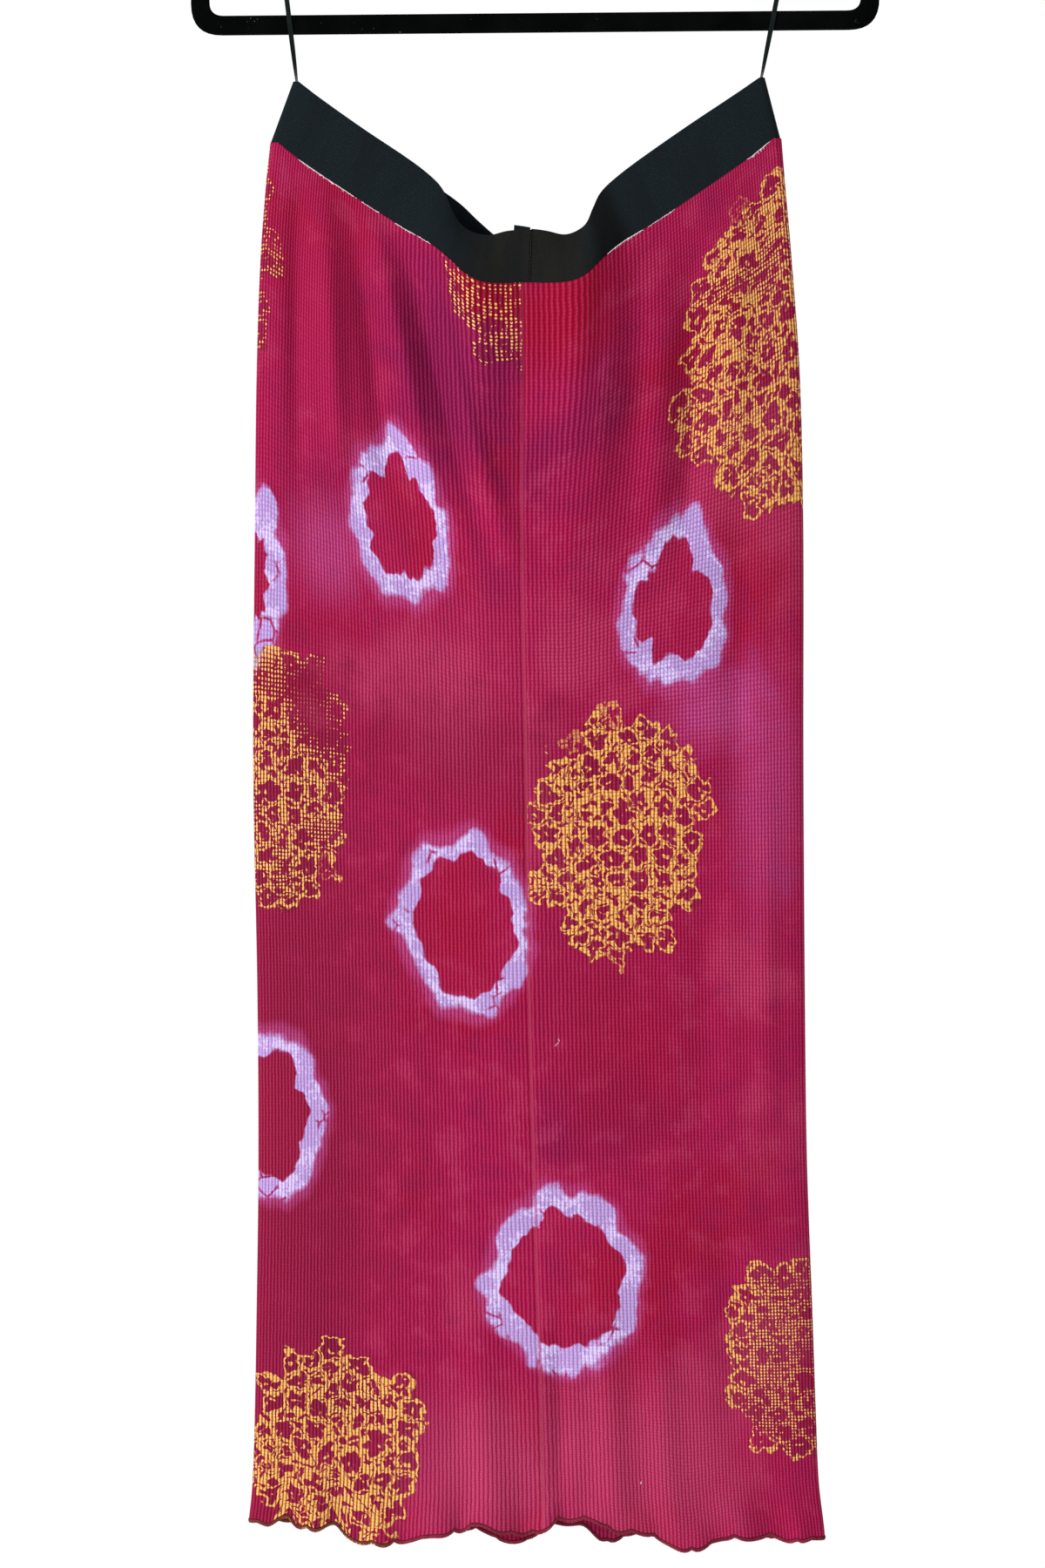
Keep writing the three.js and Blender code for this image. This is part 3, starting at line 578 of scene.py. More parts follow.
# Small-flower print: close-set five-petalled blossoms left open in a ground of gold. Its lengths
# are shares of a blossom's size, but for the wander of the flowers, which is in metres.
PETALS = 5
PETAL = {"depth": 0.25, "from_edge": 0.375, "least": 0.28, "spread": 0.22, "wander": 0.0086}
blossoms, given, made = new_group(
    "blossom print",
    [("Cloth", "Vector", (0, 0, 0)), ("Size", "Float", 0.0132)],
    [("Ground", "Float"), ("Outline", "Float"), ("Flower Centre", "Vector"),
     ("Random", "Float")],
)
wave = blossoms.add("TexNoise", {"Vector": given["Cloth"], "Scale": 150.0, "Detail": 1.5},
                    noise_dimensions="2D").outputs["Color"]
bent = blossoms.vector("MULTIPLY_ADD", wave, (PETAL["wander"], PETAL["wander"], 0), given["Cloth"])
scale = blossoms.math("DIVIDE", 1.0, given["Size"])
first = blossoms.add("TexVoronoi", {"Vector": bent, "Scale": scale, "Randomness": 0.92},
                     voronoi_dimensions="2D")
second = blossoms.add("TexVoronoi", {"Vector": bent, "Scale": scale, "Randomness": 0.92},
                      voronoi_dimensions="2D", feature="F2")
chance = blossoms.add("SeparateColor", {0: first.outputs["Color"]}).outputs
part = blossoms.parts(blossoms.vector("SUBTRACT", bent, first.outputs["Position"]))
angle = blossoms.math("ARCTAN2", part[1], part[0])
turned = blossoms.math("MULTIPLY_ADD", angle, PETALS / 2,
                       blossoms.math("MULTIPLY", chance[0], 6.0))
lobe = blossoms.math("POWER", blossoms.math("ABSOLUTE", blossoms.math("COSINE", turned)), 0.6)
distance = first.outputs["Distance"]
border = blossoms.math("SUBTRACT", second.outputs["Distance"], distance)
border = blossoms.math("MULTIPLY_ADD", lobe, PETAL["depth"],
                       blossoms.math("SUBTRACT", border, PETAL["from_edge"]))
reach = blossoms.math("MULTIPLY_ADD", lobe, PETAL["depth"], blossoms.math(
    "MULTIPLY_ADD", chance[1], PETAL["spread"], PETAL["least"]))
inner = blossoms.math("MINIMUM", border, blossoms.math("SUBTRACT", reach, distance))
flower = blossoms.step(inner, -0.025, 0.025)
eye = blossoms.step(distance, 0.060, 0.095, 1.0, 0.0)
leaves = blossoms.add("TexVoronoi", {"Vector": bent, "Scale": blossoms.math(
    "MULTIPLY", scale, 1.9), "Randomness": 1.0}, voronoi_dimensions="2D",
    feature="DISTANCE_TO_EDGE")
speck = blossoms.step(leaves.outputs["Distance"], 0.085, 0.115, 1.0, 0.0)
ground = blossoms.math("MULTIPLY", blossoms.math("SUBTRACT", 1.0, flower), speck)
line = blossoms.step(blossoms.math("ABSOLUTE", inner), 0.080, 0.110, 1.0, 0.0)
ground = blossoms.math("MAXIMUM", ground, blossoms.step(
    blossoms.math("ABSOLUTE", blossoms.math("ADD", inner, 0.05)), 0.045, 0.075, 1.0, 0.0))
blossoms.feed(made["Ground"], blossoms.math("MAXIMUM", ground, eye))
blossoms.feed(made["Outline"], blossoms.math("MAXIMUM", line, eye))
blossoms.feed(made["Flower Centre"], first.outputs["Position"])
blossoms.feed(made["Random"], chance[2])
blossoms_tree = blossoms.tree

# Where one round medallion of the print lies: 0 at its edge and 1 in its middle.
medallion, given, made = new_group(
    "medallion",
    [("Flower Centre", "Vector", (0, 0, 0)), ("Random", "Float", 0.5),
     ("Centre", "Vector", (0, 0, 0)), ("Radius", "Vector", (0.06, 0.08, 1)),
     ("Before", "Float", -1.0)],
    [("Depth", "Float")],
)
apart = medallion.vector("DIVIDE", medallion.vector(
    "SUBTRACT", given["Flower Centre"], given["Centre"]), given["Radius"])
level = medallion.math("SUBTRACT", 1.0, medallion.vector("LENGTH", apart))
level = medallion.math("MULTIPLY_ADD", medallion.math("SUBTRACT", given["Random"], 0.5), 0.05,
                       level)
medallion.feed(made["Depth"], medallion.math("MAXIMUM", level, given["Before"]))
medallion_tree = medallion.tree

# Places on the cloth in metres: right of the front seam (or left of it, below 0) and down from the
# waist seam. The cloth is CLOTH_WIDTH round, so the back is about 0.18 to 0.54 from the seam. A
# ring's turn picks its own unevenness.
CLOTH_WIDTH = 0.716
KNIT_PITCH = 0.0023  # from rib to rib
FLOWER = 0.0140  # from one blossom to the next
RINGS = named_rows(
    "along down wide tall band turn",
    (-0.079, 0.1755, 0.0275, 0.0420, 0.0120), (0.092, 0.222, 0.0265, 0.0415, 0.0125, 6.3),
    (-0.0405, 0.411, 0.0390, 0.0500, 0.0110), (0.017, 0.643, 0.0415, 0.0500, 0.0140),
    (-0.173, 0.543, 0.0330, 0.0450, 0.0125), (-0.180, 0.229, 0.0185, 0.0330, 0.0165),
    (0.300, 0.180, 0.0290, 0.0450, 0.0115), (0.425, 0.270, 0.0320, 0.0480, 0.0110),
    (0.270, 0.500, 0.0390, 0.0510, 0.0095), (0.410, 0.665, 0.0370, 0.0480, 0.0120),
)
MEDALLIONS = named_rows(
    "along down wide tall",
    (-0.190, 0.068, 0.027, 0.072), (-0.001, -0.010, 0.043, 0.073), (0.170, 0.112, 0.069, 0.089),
    (0.180, 0.222, 0.004, 0.005), (0.061, 0.361, 0.057, 0.078), (-0.165, 0.338, 0.057, 0.078),
    (-0.124, 0.757, 0.057, 0.063), (0.172, 0.692, 0.053, 0.064), (0.166, 0.778, 0.006, 0.007),
    (0.385, 0.080, 0.056, 0.066), (0.335, 0.350, 0.058, 0.076), (0.455, 0.475, 0.058, 0.078),
    (0.305, 0.680, 0.056, 0.076),
)
RASPBERRY = (0.390, 0.0100, 0.080, 1)
CRIMSON = (0.365, 0.0035, 0.037, 1)
PLUM = (0.245, 0.008, 0.080, 1)
PINK = (0.480, 0.052, 0.135, 1)
ORCHID = (0.540, 0.110, 0.340, 1)
LAVENDER = (0.520, 0.370, 0.740, 1)
PALE_LAVENDER = (0.700, 0.605, 0.980, 1)
GOLD = (0.930, 0.545, 0.140, 1)
SHADED_GOLD = (0.480, 0.205, 0.034, 1)
DEEP = (0.285, 0.010, 0.054, 1)
GROOVE_SHADE = (0.620, 0.120, 0.400, 1)
PALE_GROOVE_SHADE = (0.600, 0.450, 0.560, 1)
RIB_HIGHLIGHT = (0.86, 0.27, 0.42, 1)
RING_HEART = (0.50, 0.02, 0.07, 1)
UNDER_PRINT = (0.72, 0.9, 0.66, 1)
SEAM_HIGHLIGHT = (0.60, 0.08, 0.16, 1)

# Soft clouds of another shade, and the places where the print is worn thin.
STAINS = named_rows(
    "colour along down wide tall strength",
    (RASPBERRY, -0.122, 0.085, 0.060, 0.085, 0.85),
    # The next cloud turns the front purple just below the waist, left of the seam.
    (PLUM, -0.050, 0.070, 0.060, 0.095, 1.0),
    (CRIMSON, -0.014, 0.006, 0.042, 0.026, 0.95),
    (CRIMSON, 0.026, 0.020, 0.052, 0.046, 0.95),
    (CRIMSON, -0.046, 0.415, 0.036, 0.046, 0.7),
    (CRIMSON, 0.060, 0.500, 0.060, 0.080, 0.5),
    (PINK, 0.045, 0.760, 0.095, 0.080, 0.85),
    (PINK, -0.035, 0.765, 0.065, 0.065, 0.9),
    (PINK, -0.030, 0.270, 0.060, 0.090, 0.25),
    (ORCHID, 0.119, 0.284, 0.040, 0.028, 0.55),
    (ORCHID, -0.128, 0.205, 0.030, 0.034, 0.45),
    (ORCHID, 0.152, 0.330, 0.030, 0.085, 0.35),
    (PINK, 0.330, 0.200, 0.080, 0.120, 0.5),
    (PLUM, 0.420, 0.560, 0.070, 0.090, 0.5),
    (PLUM, -0.150, 0.620, 0.050, 0.110, 0.3),
    # The next cloud darkens the left side of the front over most of its length.
    (DEEP, -0.172, 0.540, 0.120, 0.340, 1.0),
    (DEEP, -0.040, 0.305, 0.100, 0.050, 0.6),
    (DEEP, 0.020, 0.305, 0.060, 0.050, 0.5),
    (DEEP, 0.030, 0.430, 0.060, 0.140, 0.35),
)
WORN_PRINT = named_rows(
    "along down wide tall worn",
    (-0.02, 0.02, 0.055, 0.09, 0.64),
    (-0.175, 0.07, 0.050, 0.12, 0.70),
    (-0.125, 0.285, 0.030, 0.035, 0.50),
    (-0.165, 0.34, 0.065, 0.085, 0.47),
    (0.175, 0.69, 0.060, 0.080, 0.60),
    (0.160, 0.10, 0.070, 0.085, 0.32),
    (-0.12, 0.76, 0.060, 0.070, 0.19),
)

knit_material, knit, shader = new_material("tie-dyed waffle knit", Specular_IOR_Level=0.06)
cloth, split = knit.on_cloth()

# The ribs are stretched a little wider near the seam and lean inwards below the band, and the
# rows sit closer towards the hem.
spread = knit.math("SINE", knit.math("MULTIPLY", split[0], 2 * math.pi / (CLOTH_WIDTH / 2)))
closer = knit.math("MULTIPLY_ADD", knit.math("POWER", split[1], 4.0), 0.12, 0.975)
lean = knit.math("MULTIPLY", knit.math("MULTIPLY", spread, knit.math("ABSOLUTE", spread)),
                 knit.step(split[1], 0.0, 0.27, -0.017, 0.0))
laid = knit.add("CombineXYZ", {
    0: knit.math("ADD", lean, knit.math("MULTIPLY_ADD", spread, -0.0064, split[0])),
    1: knit.math("MULTIPLY", split[1], closer)}).outputs[0]
relief = use_group(knit, waffle_tree, Cloth=laid, Pitch=KNIT_PITCH)

# Dye: raspberry, drifting to crimson and plum in soft clouds, paler pink towards the hem.
slow = knit.noise(cloth, 9.0, 3.0)
drift = knit.noise(knit.vector("ADD", cloth, (3.1, 1.7, 0)), 6.0, 3.0)
mottle = knit.noise(cloth, 46.0, 3.0, 0.6)
dye = knit.blend(knit.step(slow, 0.50, 0.68, 0.0, 0.75), RASPBERRY, CRIMSON)
dye = knit.blend(knit.step(drift, 0.52, 0.70, 0.0, 0.70), dye, PLUM)
dye = knit.blend(knit.step(drift, 0.42, 0.28, 0.0, 0.60), dye, PINK)
dye = knit.blend(knit.step(mottle, 0.50, 0.72, 0.0, 0.35), dye, PINK)
dye = knit.blend(knit.step(mottle, 0.46, 0.28, 0.0, 0.30), dye, PLUM)


def away_from(spot):
    """How far a point of the cloth lies from a spot, 1 at the edge of the spot."""
    apart = knit.vector("SUBTRACT", cloth, (spot["along"] % CLOTH_WIDTH, spot["down"], 0))
    return knit.vector("LENGTH", knit.vector("DIVIDE", apart, (spot["wide"], spot["tall"], 1)))


for spot in STAINS:
    near = knit.math("MULTIPLY_ADD", knit.math("SUBTRACT", mottle, 0.5), 0.8, away_from(spot))
    dye = knit.blend(knit.step(near, 0.20, 1.15, spot["strength"], 0.0), dye, spot["colour"])

# The rings. A place is found in the nearest one, and one near the seam lies on both its sides.
place, facts = None, None
for i, spot in enumerate(RINGS):
    turn = spot.get("turn", 1.7 * i + 0.4)
    for along in (spot["along"], spot["along"] + CLOTH_WIDTH):
        if not -spot["wide"] - 0.03 < along < CLOTH_WIDTH + spot["wide"] + 0.03:
            continue
        own = ((spot["wide"] + spot["tall"]) / 2, spot["band"], turn)
        found = use_group(
            knit, nearer_tree, Cloth=cloth, Centre=(along, spot["down"], 0),
            Radius=(spot["wide"], spot["tall"], 1), Facts=own,
            Other_Place=(9, 9, 0) if place is None else place,
            Other_Facts=own if facts is None else facts,
        )
        place, facts = found["Place"], found["Facts"]
bound = use_group(knit, ring_tree, Cloth=cloth, Place=place, Facts=facts)
dye = knit.blend(knit.math("MULTIPLY", bound["Inside"], 0.12), dye, RING_HEART)
dye = knit.blend(knit.math("MULTIPLY", bound["Haze"], 0.45), dye, ORCHID)
lavender = knit.blend(bound["Heart"], LAVENDER, PALE_LAVENDER)
dye = knit.blend(bound["Ring"], dye, lavender)

# The gold print, which touches only the raised knit and is worn thin in places. Each blossom
# belongs to the medallion that it lies deepest in.
flowers = use_group(knit, blossoms_tree, Cloth=cloth, Size=FLOWER)
depth = -1.0
for spot in MEDALLIONS:
    for along in (spot["along"], spot["along"] + CLOTH_WIDTH):
        if not 0 < along < CLOTH_WIDTH:
            continue
        found = use_group(
            knit, medallion_tree, Flower_Centre=flowers["Flower Centre"],
            Random=flowers["Random"], Centre=(along, spot["down"], 0),
            Radius=(spot["wide"], spot["tall"], 1), Before=depth,
        )
        depth = found["Depth"]
filled = knit.math("MULTIPLY_ADD", knit.noise(cloth, 55.0, 1.0), -0.45, depth)
full = knit.math("MULTIPLY", flowers["Ground"], knit.step(filled, -0.14, -0.12))
edge_line = knit.math("MULTIPLY", flowers["Outline"], knit.step(depth, 0.0, 0.01))
printed = knit.math("MAXIMUM", full, edge_line)
thin = knit.step(knit.noise(cloth, 24.0, 2.0), 0.50, 0.70, 0.0, 0.26)
for spot in WORN_PRINT:
    thin = knit.math("ADD", thin, knit.step(away_from(spot), 0.6, 1.2, spot["worn"], 0.0))
thin = knit.math("MAXIMUM", thin, knit.step(filled, -0.12, -0.14, 0.0, 0.10))
between_rows = knit.math("SUBTRACT", relief["Row"], 1.0)
pressed = knit.math("MULTIPLY_ADD", knit.step(thin, 0.40, 0.64, 0.0, 0.35), between_rows,
                    relief["Height"])
touched = knit.step(pressed, knit.math("MULTIPLY_ADD", thin, 1.25, -0.30),
                    knit.math("MULTIPLY_ADD", thin, 1.25, -0.06))
printed = knit.math("MULTIPLY", printed, touched)
dye = knit.blend(knit.step(depth, 0.0, 0.05, 0.0, 0.75), dye,
                 knit.blend(1.0, dye, UNDER_PRINT, "MULTIPLY"))
# Painted shade and light: the gold is darker on the low parts of the knit and brighter on its raised
# parts.
gold = knit.blend(knit.step(relief["Height"], 0.25, 0.7), SHADED_GOLD, GOLD)
dye = knit.blend(printed, dye, gold)

# Painted shade darkens the grooves between ribs and, more weakly, between rows. A painted highlight
# lies on the crests of the ribs, and on the ridge of the seam as a thin paler line.
crossed = knit.step(knit.math("MULTIPLY_ADD", knit.noise(cloth, 15.0, 1.0), 0.3, split[1]),
                    0.30, 0.68, 0.70, 0.45)
crossed = knit.math("MULTIPLY", crossed, knit.math("MULTIPLY_ADD", spread, 0.35, 1.0))
groove_shade_mask = knit.math("MAXIMUM", knit.step(relief["Rib"], 0.10, 0.75, 1.0, 0.0),
                    knit.math("MULTIPLY", crossed, knit.step(relief["Row"], 0.10, 0.75, 1.0, 0.0)))
groove_shade_mask = knit.math("MULTIPLY", groove_shade_mask, knit.math("MULTIPLY_ADD", printed, -0.35, 1.0))
hollow = knit.blend(bound["Ring"], GROOVE_SHADE, PALE_GROOVE_SHADE)
dye = knit.blend(groove_shade_mask, dye, knit.blend(1.0, dye, hollow, "MULTIPLY"))
# Painted highlight on the crests of the ribs.
crest_highlight = knit.step(relief["Rib"], 0.80, 1.0, 0.0, 0.07)
dye = knit.blend(crest_highlight, dye, RIB_HIGHLIGHT)
fibre = knit.math("MULTIPLY_ADD", knit.noise(cloth, 900.0, 2.0), 0.50, 0.75)
dye = knit.blend(1.0, dye, knit.add("CombineColor", {0: fibre, 1: fibre, 2: fibre}).outputs[0],
                 "MULTIPLY")
# Painted highlight: a thin paler line on the ridge of the front seam, weaker just below the waist.
to_seam = knit.math("MINIMUM", split[0], knit.math("SUBTRACT", CLOTH_WIDTH, split[0]))
seam_highlight_mask = knit.math("MULTIPLY", knit.step(to_seam, 0.0003, 0.0012, 0.58, 0.0),
                      knit.step(split[1], 0.06, 0.16, 0.3, 1.0))
dye = knit.blend(seam_highlight_mask, dye, SEAM_HIGHLIGHT)
knit.feed(shader["Base Color"], dye)
knit.feed(shader["Roughness"], knit.step(printed, 0.0, 1.0, 0.85, 0.55))
fluffed = knit.math("MULTIPLY_ADD", fibre, 0.35, relief["Height"])
knit.feed(shader["Normal"], knit.bump(fluffed, 0.55, 0.0009))

around = stations_round(KNIT_GRID["front"], KNIT_GRID["fold"], KNIT_GRID["back"])
steps = np.linspace(0, 1, KNIT_GRID["rows"] + 1)
downs = CLOTH_LENGTH * (steps - KNIT_GRID["crowd"] * np.sin(2 * math.pi * steps))
grid = knit_surface(around, downs)
grid[0, :, 2] -= SEAM_GAP
along_cloth = share_round(around) * CLOTH_WIDTH
points, faces, uv = shell(grid, KNIT_THICK, np.append(along_cloth, CLOTH_WIDTH), downs * MM)
skirt = new_piece("skirt_knit", points, faces, knit_material, uv)
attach(skirt, "root")
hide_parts("skirt_body")

# ---------------------------------------------------------------------------------------------
# Lint. Two curled bits of white fluff, a few millimetres long, that cling to the front of the knit:
# one below its middle and a smaller one near the hem.
# ---------------------------------------------------------------------------------------------
HALF_FRONT = 170.4
LINT_CURL = 0.3
LINT = named_rows(
    "along down long lean wire",
    (17.0, 488.0, 4.6, 0.9, 0.16), (62.0, 772.0, 1.3, 0.2, 0.28),
)


def tube(path, radius, sides=6, closed=False):
    """Points and faces of a round thread along a path, capped unless it is closed."""
    path = np.asarray(path, float)
    along = np.roll(path, -1, 0) - np.roll(path, 1, 0) if closed else np.gradient(path, axis=0)
    along /= np.linalg.norm(along, axis=1, keepdims=True) + 1e-12
    up = np.where(np.abs(along[:, 2:3]) > 0.9, [[1.0, 0, 0]], [[0, 0, 1.0]])
    side = np.cross(along, up)
    side /= np.linalg.norm(side, axis=1, keepdims=True) + 1e-12
    over = np.cross(side, along)
    angle = 2 * math.pi * np.arange(sides) / sides
    radius = np.broadcast_to(np.asarray(radius, float), (len(path),))[:, None, None]
    rings = path[:, None] + radius * (
        np.cos(angle)[None, :, None] * side[:, None] + np.sin(angle)[None, :, None] * over[:, None]
    )
    spans = len(path) if closed else len(path) - 1
    i, k = np.meshgrid(np.arange(spans), np.arange(sides), indexing="ij")
    j, m = (i + 1) % len(path), (k + 1) % sides
    quads = np.stack([i * sides + k, i * sides + m, j * sides + m, j * sides + k], -1)
    faces = [list(q) for q in quads.reshape(-1, 4)]
    if not closed:
        faces.append(list(range(sides))[::-1])
        faces.append([(len(path) - 1) * sides + k for k in range(sides)])
    return rings.reshape(-1, 3), faces


def joined(parts):
    """Many small bodies as the points and faces of one mesh."""
    points, faces, base = [], [], 0
    for part_points, part_faces in parts:
        points.append(part_points)
        faces += [[base + v for v in face] for face in part_faces]
        base += len(part_points)
    return np.vstack(points), faces


lint_material, lint, shader = new_material("white lint", Roughness=0.9)
here = lint.on_piece()
fuzz = lint.noise(here, 2500.0, 2.0, dimensions="3D")
lint.feed(shader["Base Color"], lint.blend(fuzz, (0.85, 0.62, 0.66, 1), (0.95, 0.88, 0.88, 1)))
bits = []
for bit in LINT:
    t = np.linspace(-0.5, 0.5, 7)
    places = (bit["along"] + bit["long"] * LINT_CURL * np.cos(4 * t + bit["lean"])) / HALF_FRONT
    lines = {"at": places, "turn": np.zeros(7), "face": np.full(7, "front")}
    surface = knit_surface(lines, bit["down"] + bit["long"] * t)
    path = np.array([surface[k, k] for k in range(7)])
    path[:, 1] -= KNIT_THICK / 2 + 0.3
    bits.append(tube(path, bit["wire"], 5))
points, faces = joined(bits)
lint_bits = new_piece("lint", points, faces, lint_material)
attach(lint_bits, "root")

# ---------------------------------------------------------------------------------------------
# The hem's overlock. The raw edge is stretched as it is sewn, so it frills, and it is wrapped in
# close dark maroon thread about 3 mm deep, each loop running over the edge.
# ---------------------------------------------------------------------------------------------
HEM_THREAD = {"depth": 2.0, "proud": 0.2, "wire": 0.32, "pitch": 1.15, "flank": 0.8,
              "edge": 0.55, "needle": 0.27, "needle_lift": 0.05}
MAROON = (0.165, 0.014, 0.033, 1)

thread_material, thread, shader = new_material(
    "maroon overlock thread", Roughness=0.8, Specular_IOR_Level=0.10)
here = thread.on_piece()
twist = thread.add("TexWave", {"Vector": here, "Scale": 900.0, "Distortion": 3.0, "Detail": 2.0})
uneven = thread.noise(here, 60.0, 3.0, dimensions="3D")
tone = thread.blend(thread.step(uneven, 0.40, 0.62), MAROON, (0.28, 0.028, 0.052, 1))
# Painted highlight: the thread is a little lighter along the turns of its twist.
tone = thread.blend(thread.math("MULTIPLY", twist.outputs["Fac"], 0.25), tone,
                    (0.30, 0.060, 0.080, 1))
across = thread.parts(here)[0]
across = thread.math("MULTIPLY_ADD", uneven, 0.03, across)
tone = thread.blend(thread.step(across, -0.096, -0.080, 0.75, 0.0), tone, (0.17, 0.055, 0.025, 1))
thread.feed(shader["Base Color"], tone)
thread.feed(shader["Normal"], thread.bump(twist.outputs["Fac"], 0.4, 0.0002))

# A wrapped core along the very edge, then the loops of thread that run over it.
hem_rows = CLOTH_LENGTH - HEM_THREAD["depth"] * np.array([1.0, 0.5, 0.0])
hem_grid = knit_surface(around, hem_rows)
hem_normal = outward(hem_grid)
hem_down = hem_grid[2] - hem_grid[0]
hem_down /= np.linalg.norm(hem_down, axis=1, keepdims=True)
half = KNIT_THICK / 2 + HEM_THREAD["proud"]
low = hem_grid[2] + hem_down * HEM_THREAD["proud"]
flank, edge = half * HEM_THREAD["flank"], half * HEM_THREAD["edge"]
section = [
    hem_grid[0] + hem_normal[0] * flank,
    hem_grid[1] + hem_normal[1] * half,
    low + hem_normal[2] * edge,
    low - hem_normal[2] * edge,
    hem_grid[1] - hem_normal[1] * half,
    hem_grid[0] - hem_normal[0] * flank,
]
count = len(low)
core_points = np.vstack(section)
core_faces = []
for k in range(6):
    for c in range(count):
        d, m = (c + 1) % count, (k + 1) % 6
        core_faces.append([k * count + c, m * count + c, m * count + d, k * count + d])
hem_core = new_piece("hem_overlock", core_points, core_faces, thread_material)
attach(hem_core, "root")

rng = np.random.default_rng(5)
edge_step = np.linalg.norm(np.roll(low, -1, 0) - low, axis=1)
edge_length = np.concatenate([[0], np.cumsum(edge_step)])
loops = []
for place in np.arange(0, edge_length[-1] - 1, HEM_THREAD["pitch"]):
    place = place + rng.uniform(-0.2, 0.2)
    path = []
    for k, lean in zip(range(6), (0.5, 0.3, 0.1, -0.1, -0.3, -0.5)):
        ring_of = np.vstack([section[k], section[k][:1]])
        spot = [np.interp(place + lean, edge_length, ring_of[:, a]) for a in range(3)]
        path.append(spot)
    loops.append(tube(path, HEM_THREAD["wire"], 5))
points, faces = joined(loops)
hem_loops = new_piece("hem_overlock_loops", points, faces, thread_material)
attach(hem_loops, "root")


def sewing_thread(name, dark, light, twists, sway, **plain):
    """Fine twisted thread, with painted shade between its turns."""
    material, thread, shader = new_material(name, **plain)
    turns = thread.add("TexWave", {"Vector": thread.on_piece(), "Scale": twists,
                                   "Distortion": sway, "Detail": 2.0}).outputs["Fac"]
    thread.feed(shader["Base Color"], thread.blend(turns, dark, light))
    thread.feed(shader["Normal"], thread.bump(turns, 0.4, 0.0002))
    return material


# The needle's thread, a dark line along the top of the overlock on both faces.
needle_material = sewing_thread(
    "dark needle thread", (0.030, 0.003, 0.009, 1), (0.075, 0.009, 0.022, 1), 900.0, 3.0,
    Roughness=0.8, Specular_IOR_Level=0.10)
away = hem_normal[0] * (flank + HEM_THREAD["needle_lift"])
lines = [tube(hem_grid[0] + side * away, HEM_THREAD["needle"], 5, True) for side in (1, -1)]
points, faces = joined(lines)
hem_line = new_piece("hem_needle_line", points, faces, needle_material)
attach(hem_line, "root")

# ---------------------------------------------------------------------------------------------
# The waistband. A single length of matt black woven elastic 40 mm wide, sewn edge to edge to the
# knit, so that it curls over the hollow of the waist and sags between the two loops.
# ---------------------------------------------------------------------------------------------
FRONT_TOP = named_rows(
    "across z out left",
    (0, -359.6, 9), (12, -360.2, 9), (24, -362.8, 8.5), (32, -360.8, 8, 2.5), (39, -355.5, 8, 3.5),
    (43.5, -345.5, 8.5, 5.0), (48, -336, 9, 4.0), (56, -327.8, 8.5, 1.5), (72, -315.4, 7.5),
    (105, -292.6, 6), (136.5, -271.8, 4, -3), (151.3, -261.7, 3, -5.1),
)
BACK_TOP = named_rows(
    "across z out left",
    (0, -369, 9), (12, -367.5, 9), (22, -365.5, 9, -5), (31, -362, 8.5, -11),
    (37.5, -357, 8.5, -12), (42, -350, 8, -9), (46, -342, 8, -5), (51, -335.5, 8, -2),
    (59, -328.5, 8), (72, -317.5, 7.5), (105, -293.5, 6), (136.5, -271.8, 4, -3),
    (151.3, -261.7, 3, -5.1),
)
BAND_JOIN = 1.6  # right of the middle of the waist
BAND_LEAN = 0.07
ELASTIC_WIDTH, ELASTIC_THICK = 40.0, 1.5
BAND_GRID = {"front": 220, "fold": 8, "back": 130, "rows": 22}
BAND_LENGTH = 0.712
BAND_CROWN = 1.2
# Painted light: the elastic's black under cool window light and under warm room light.
COOL_LIT_BLACK = (0.0062, 0.0108, 0.0135, 1)
WARM_LIT_BLACK = (0.0120, 0.0117, 0.0104, 1)
DEEP_BLACK = (0.0050, 0.0070, 0.0085, 1)
WORN_BLACK = (0.030, 0.034, 0.036, 1)

band_material, band, shader = new_material(
    "black woven elastic", Roughness=0.9, Specular_IOR_Level=0.08)
cloth, split = band.on_cloth()
cord = band.math("SINE", band.math("MULTIPLY", split[1], 2 * math.pi / 0.0011))
yarn = band.math("SINE", band.math("MULTIPLY", split[0], 2 * math.pi / 0.0009))
weave = band.math("MULTIPLY_ADD", band.math("MULTIPLY", cord, yarn), 0.25, 0.5)
weave = band.math("MULTIPLY_ADD", band.noise(cloth, 1500.0, 2.0), 0.6, weave)
# Painted light: the middle of the front of the elastic, which faces up, is painted in warm room light,
# the rest in cool window light.
near_front = band.math("MINIMUM", split[0], band.math("SUBTRACT", BAND_LENGTH, split[0]))
painted_warm_light = band.step(near_front, 0.022, 0.056, 1.0, 0.0)
black = band.blend(painted_warm_light, COOL_LIT_BLACK, WARM_LIT_BLACK)
speck = band.noise(cloth, 1100.0, 3.0, 0.7)
black = band.blend(band.step(speck, 0.48, 0.78, 0.0, 0.45), black, WORN_BLACK)
nap = band.noise(band.vector("MULTIPLY", cloth, (1, 0.25, 1)), 60.0, 3.0)
black = band.blend(band.step(nap, 0.40, 0.70, 0.0, 0.40), black, DEEP_BLACK)
black = band.blend(band.step(near_front, 0.0004, 0.0010, 0.9, 0.0), black,
                   (0.0006, 0.0006, 0.0006, 1))
# Painted shade: the right-hand S-bend of the front, which faces away from the light, is darkened.
bend = band.step(band.math("ABSOLUTE", band.math("SUBTRACT", split[0], 0.057)), 0.006, 0.020,
                 0.8, 0.0)
black = band.blend(bend, black, (0.0030, 0.0030, 0.0030, 1))
band.feed(shader["Base Color"], black)
band.feed(shader["Normal"], band.bump(weave, 0.35, 0.0003))

top_loop = Loop(FRONT_TOP, BACK_TOP, BAND_JOIN)
band_waist = Loop(FRONT_WAIST, BACK_WAIST, BAND_JOIN)


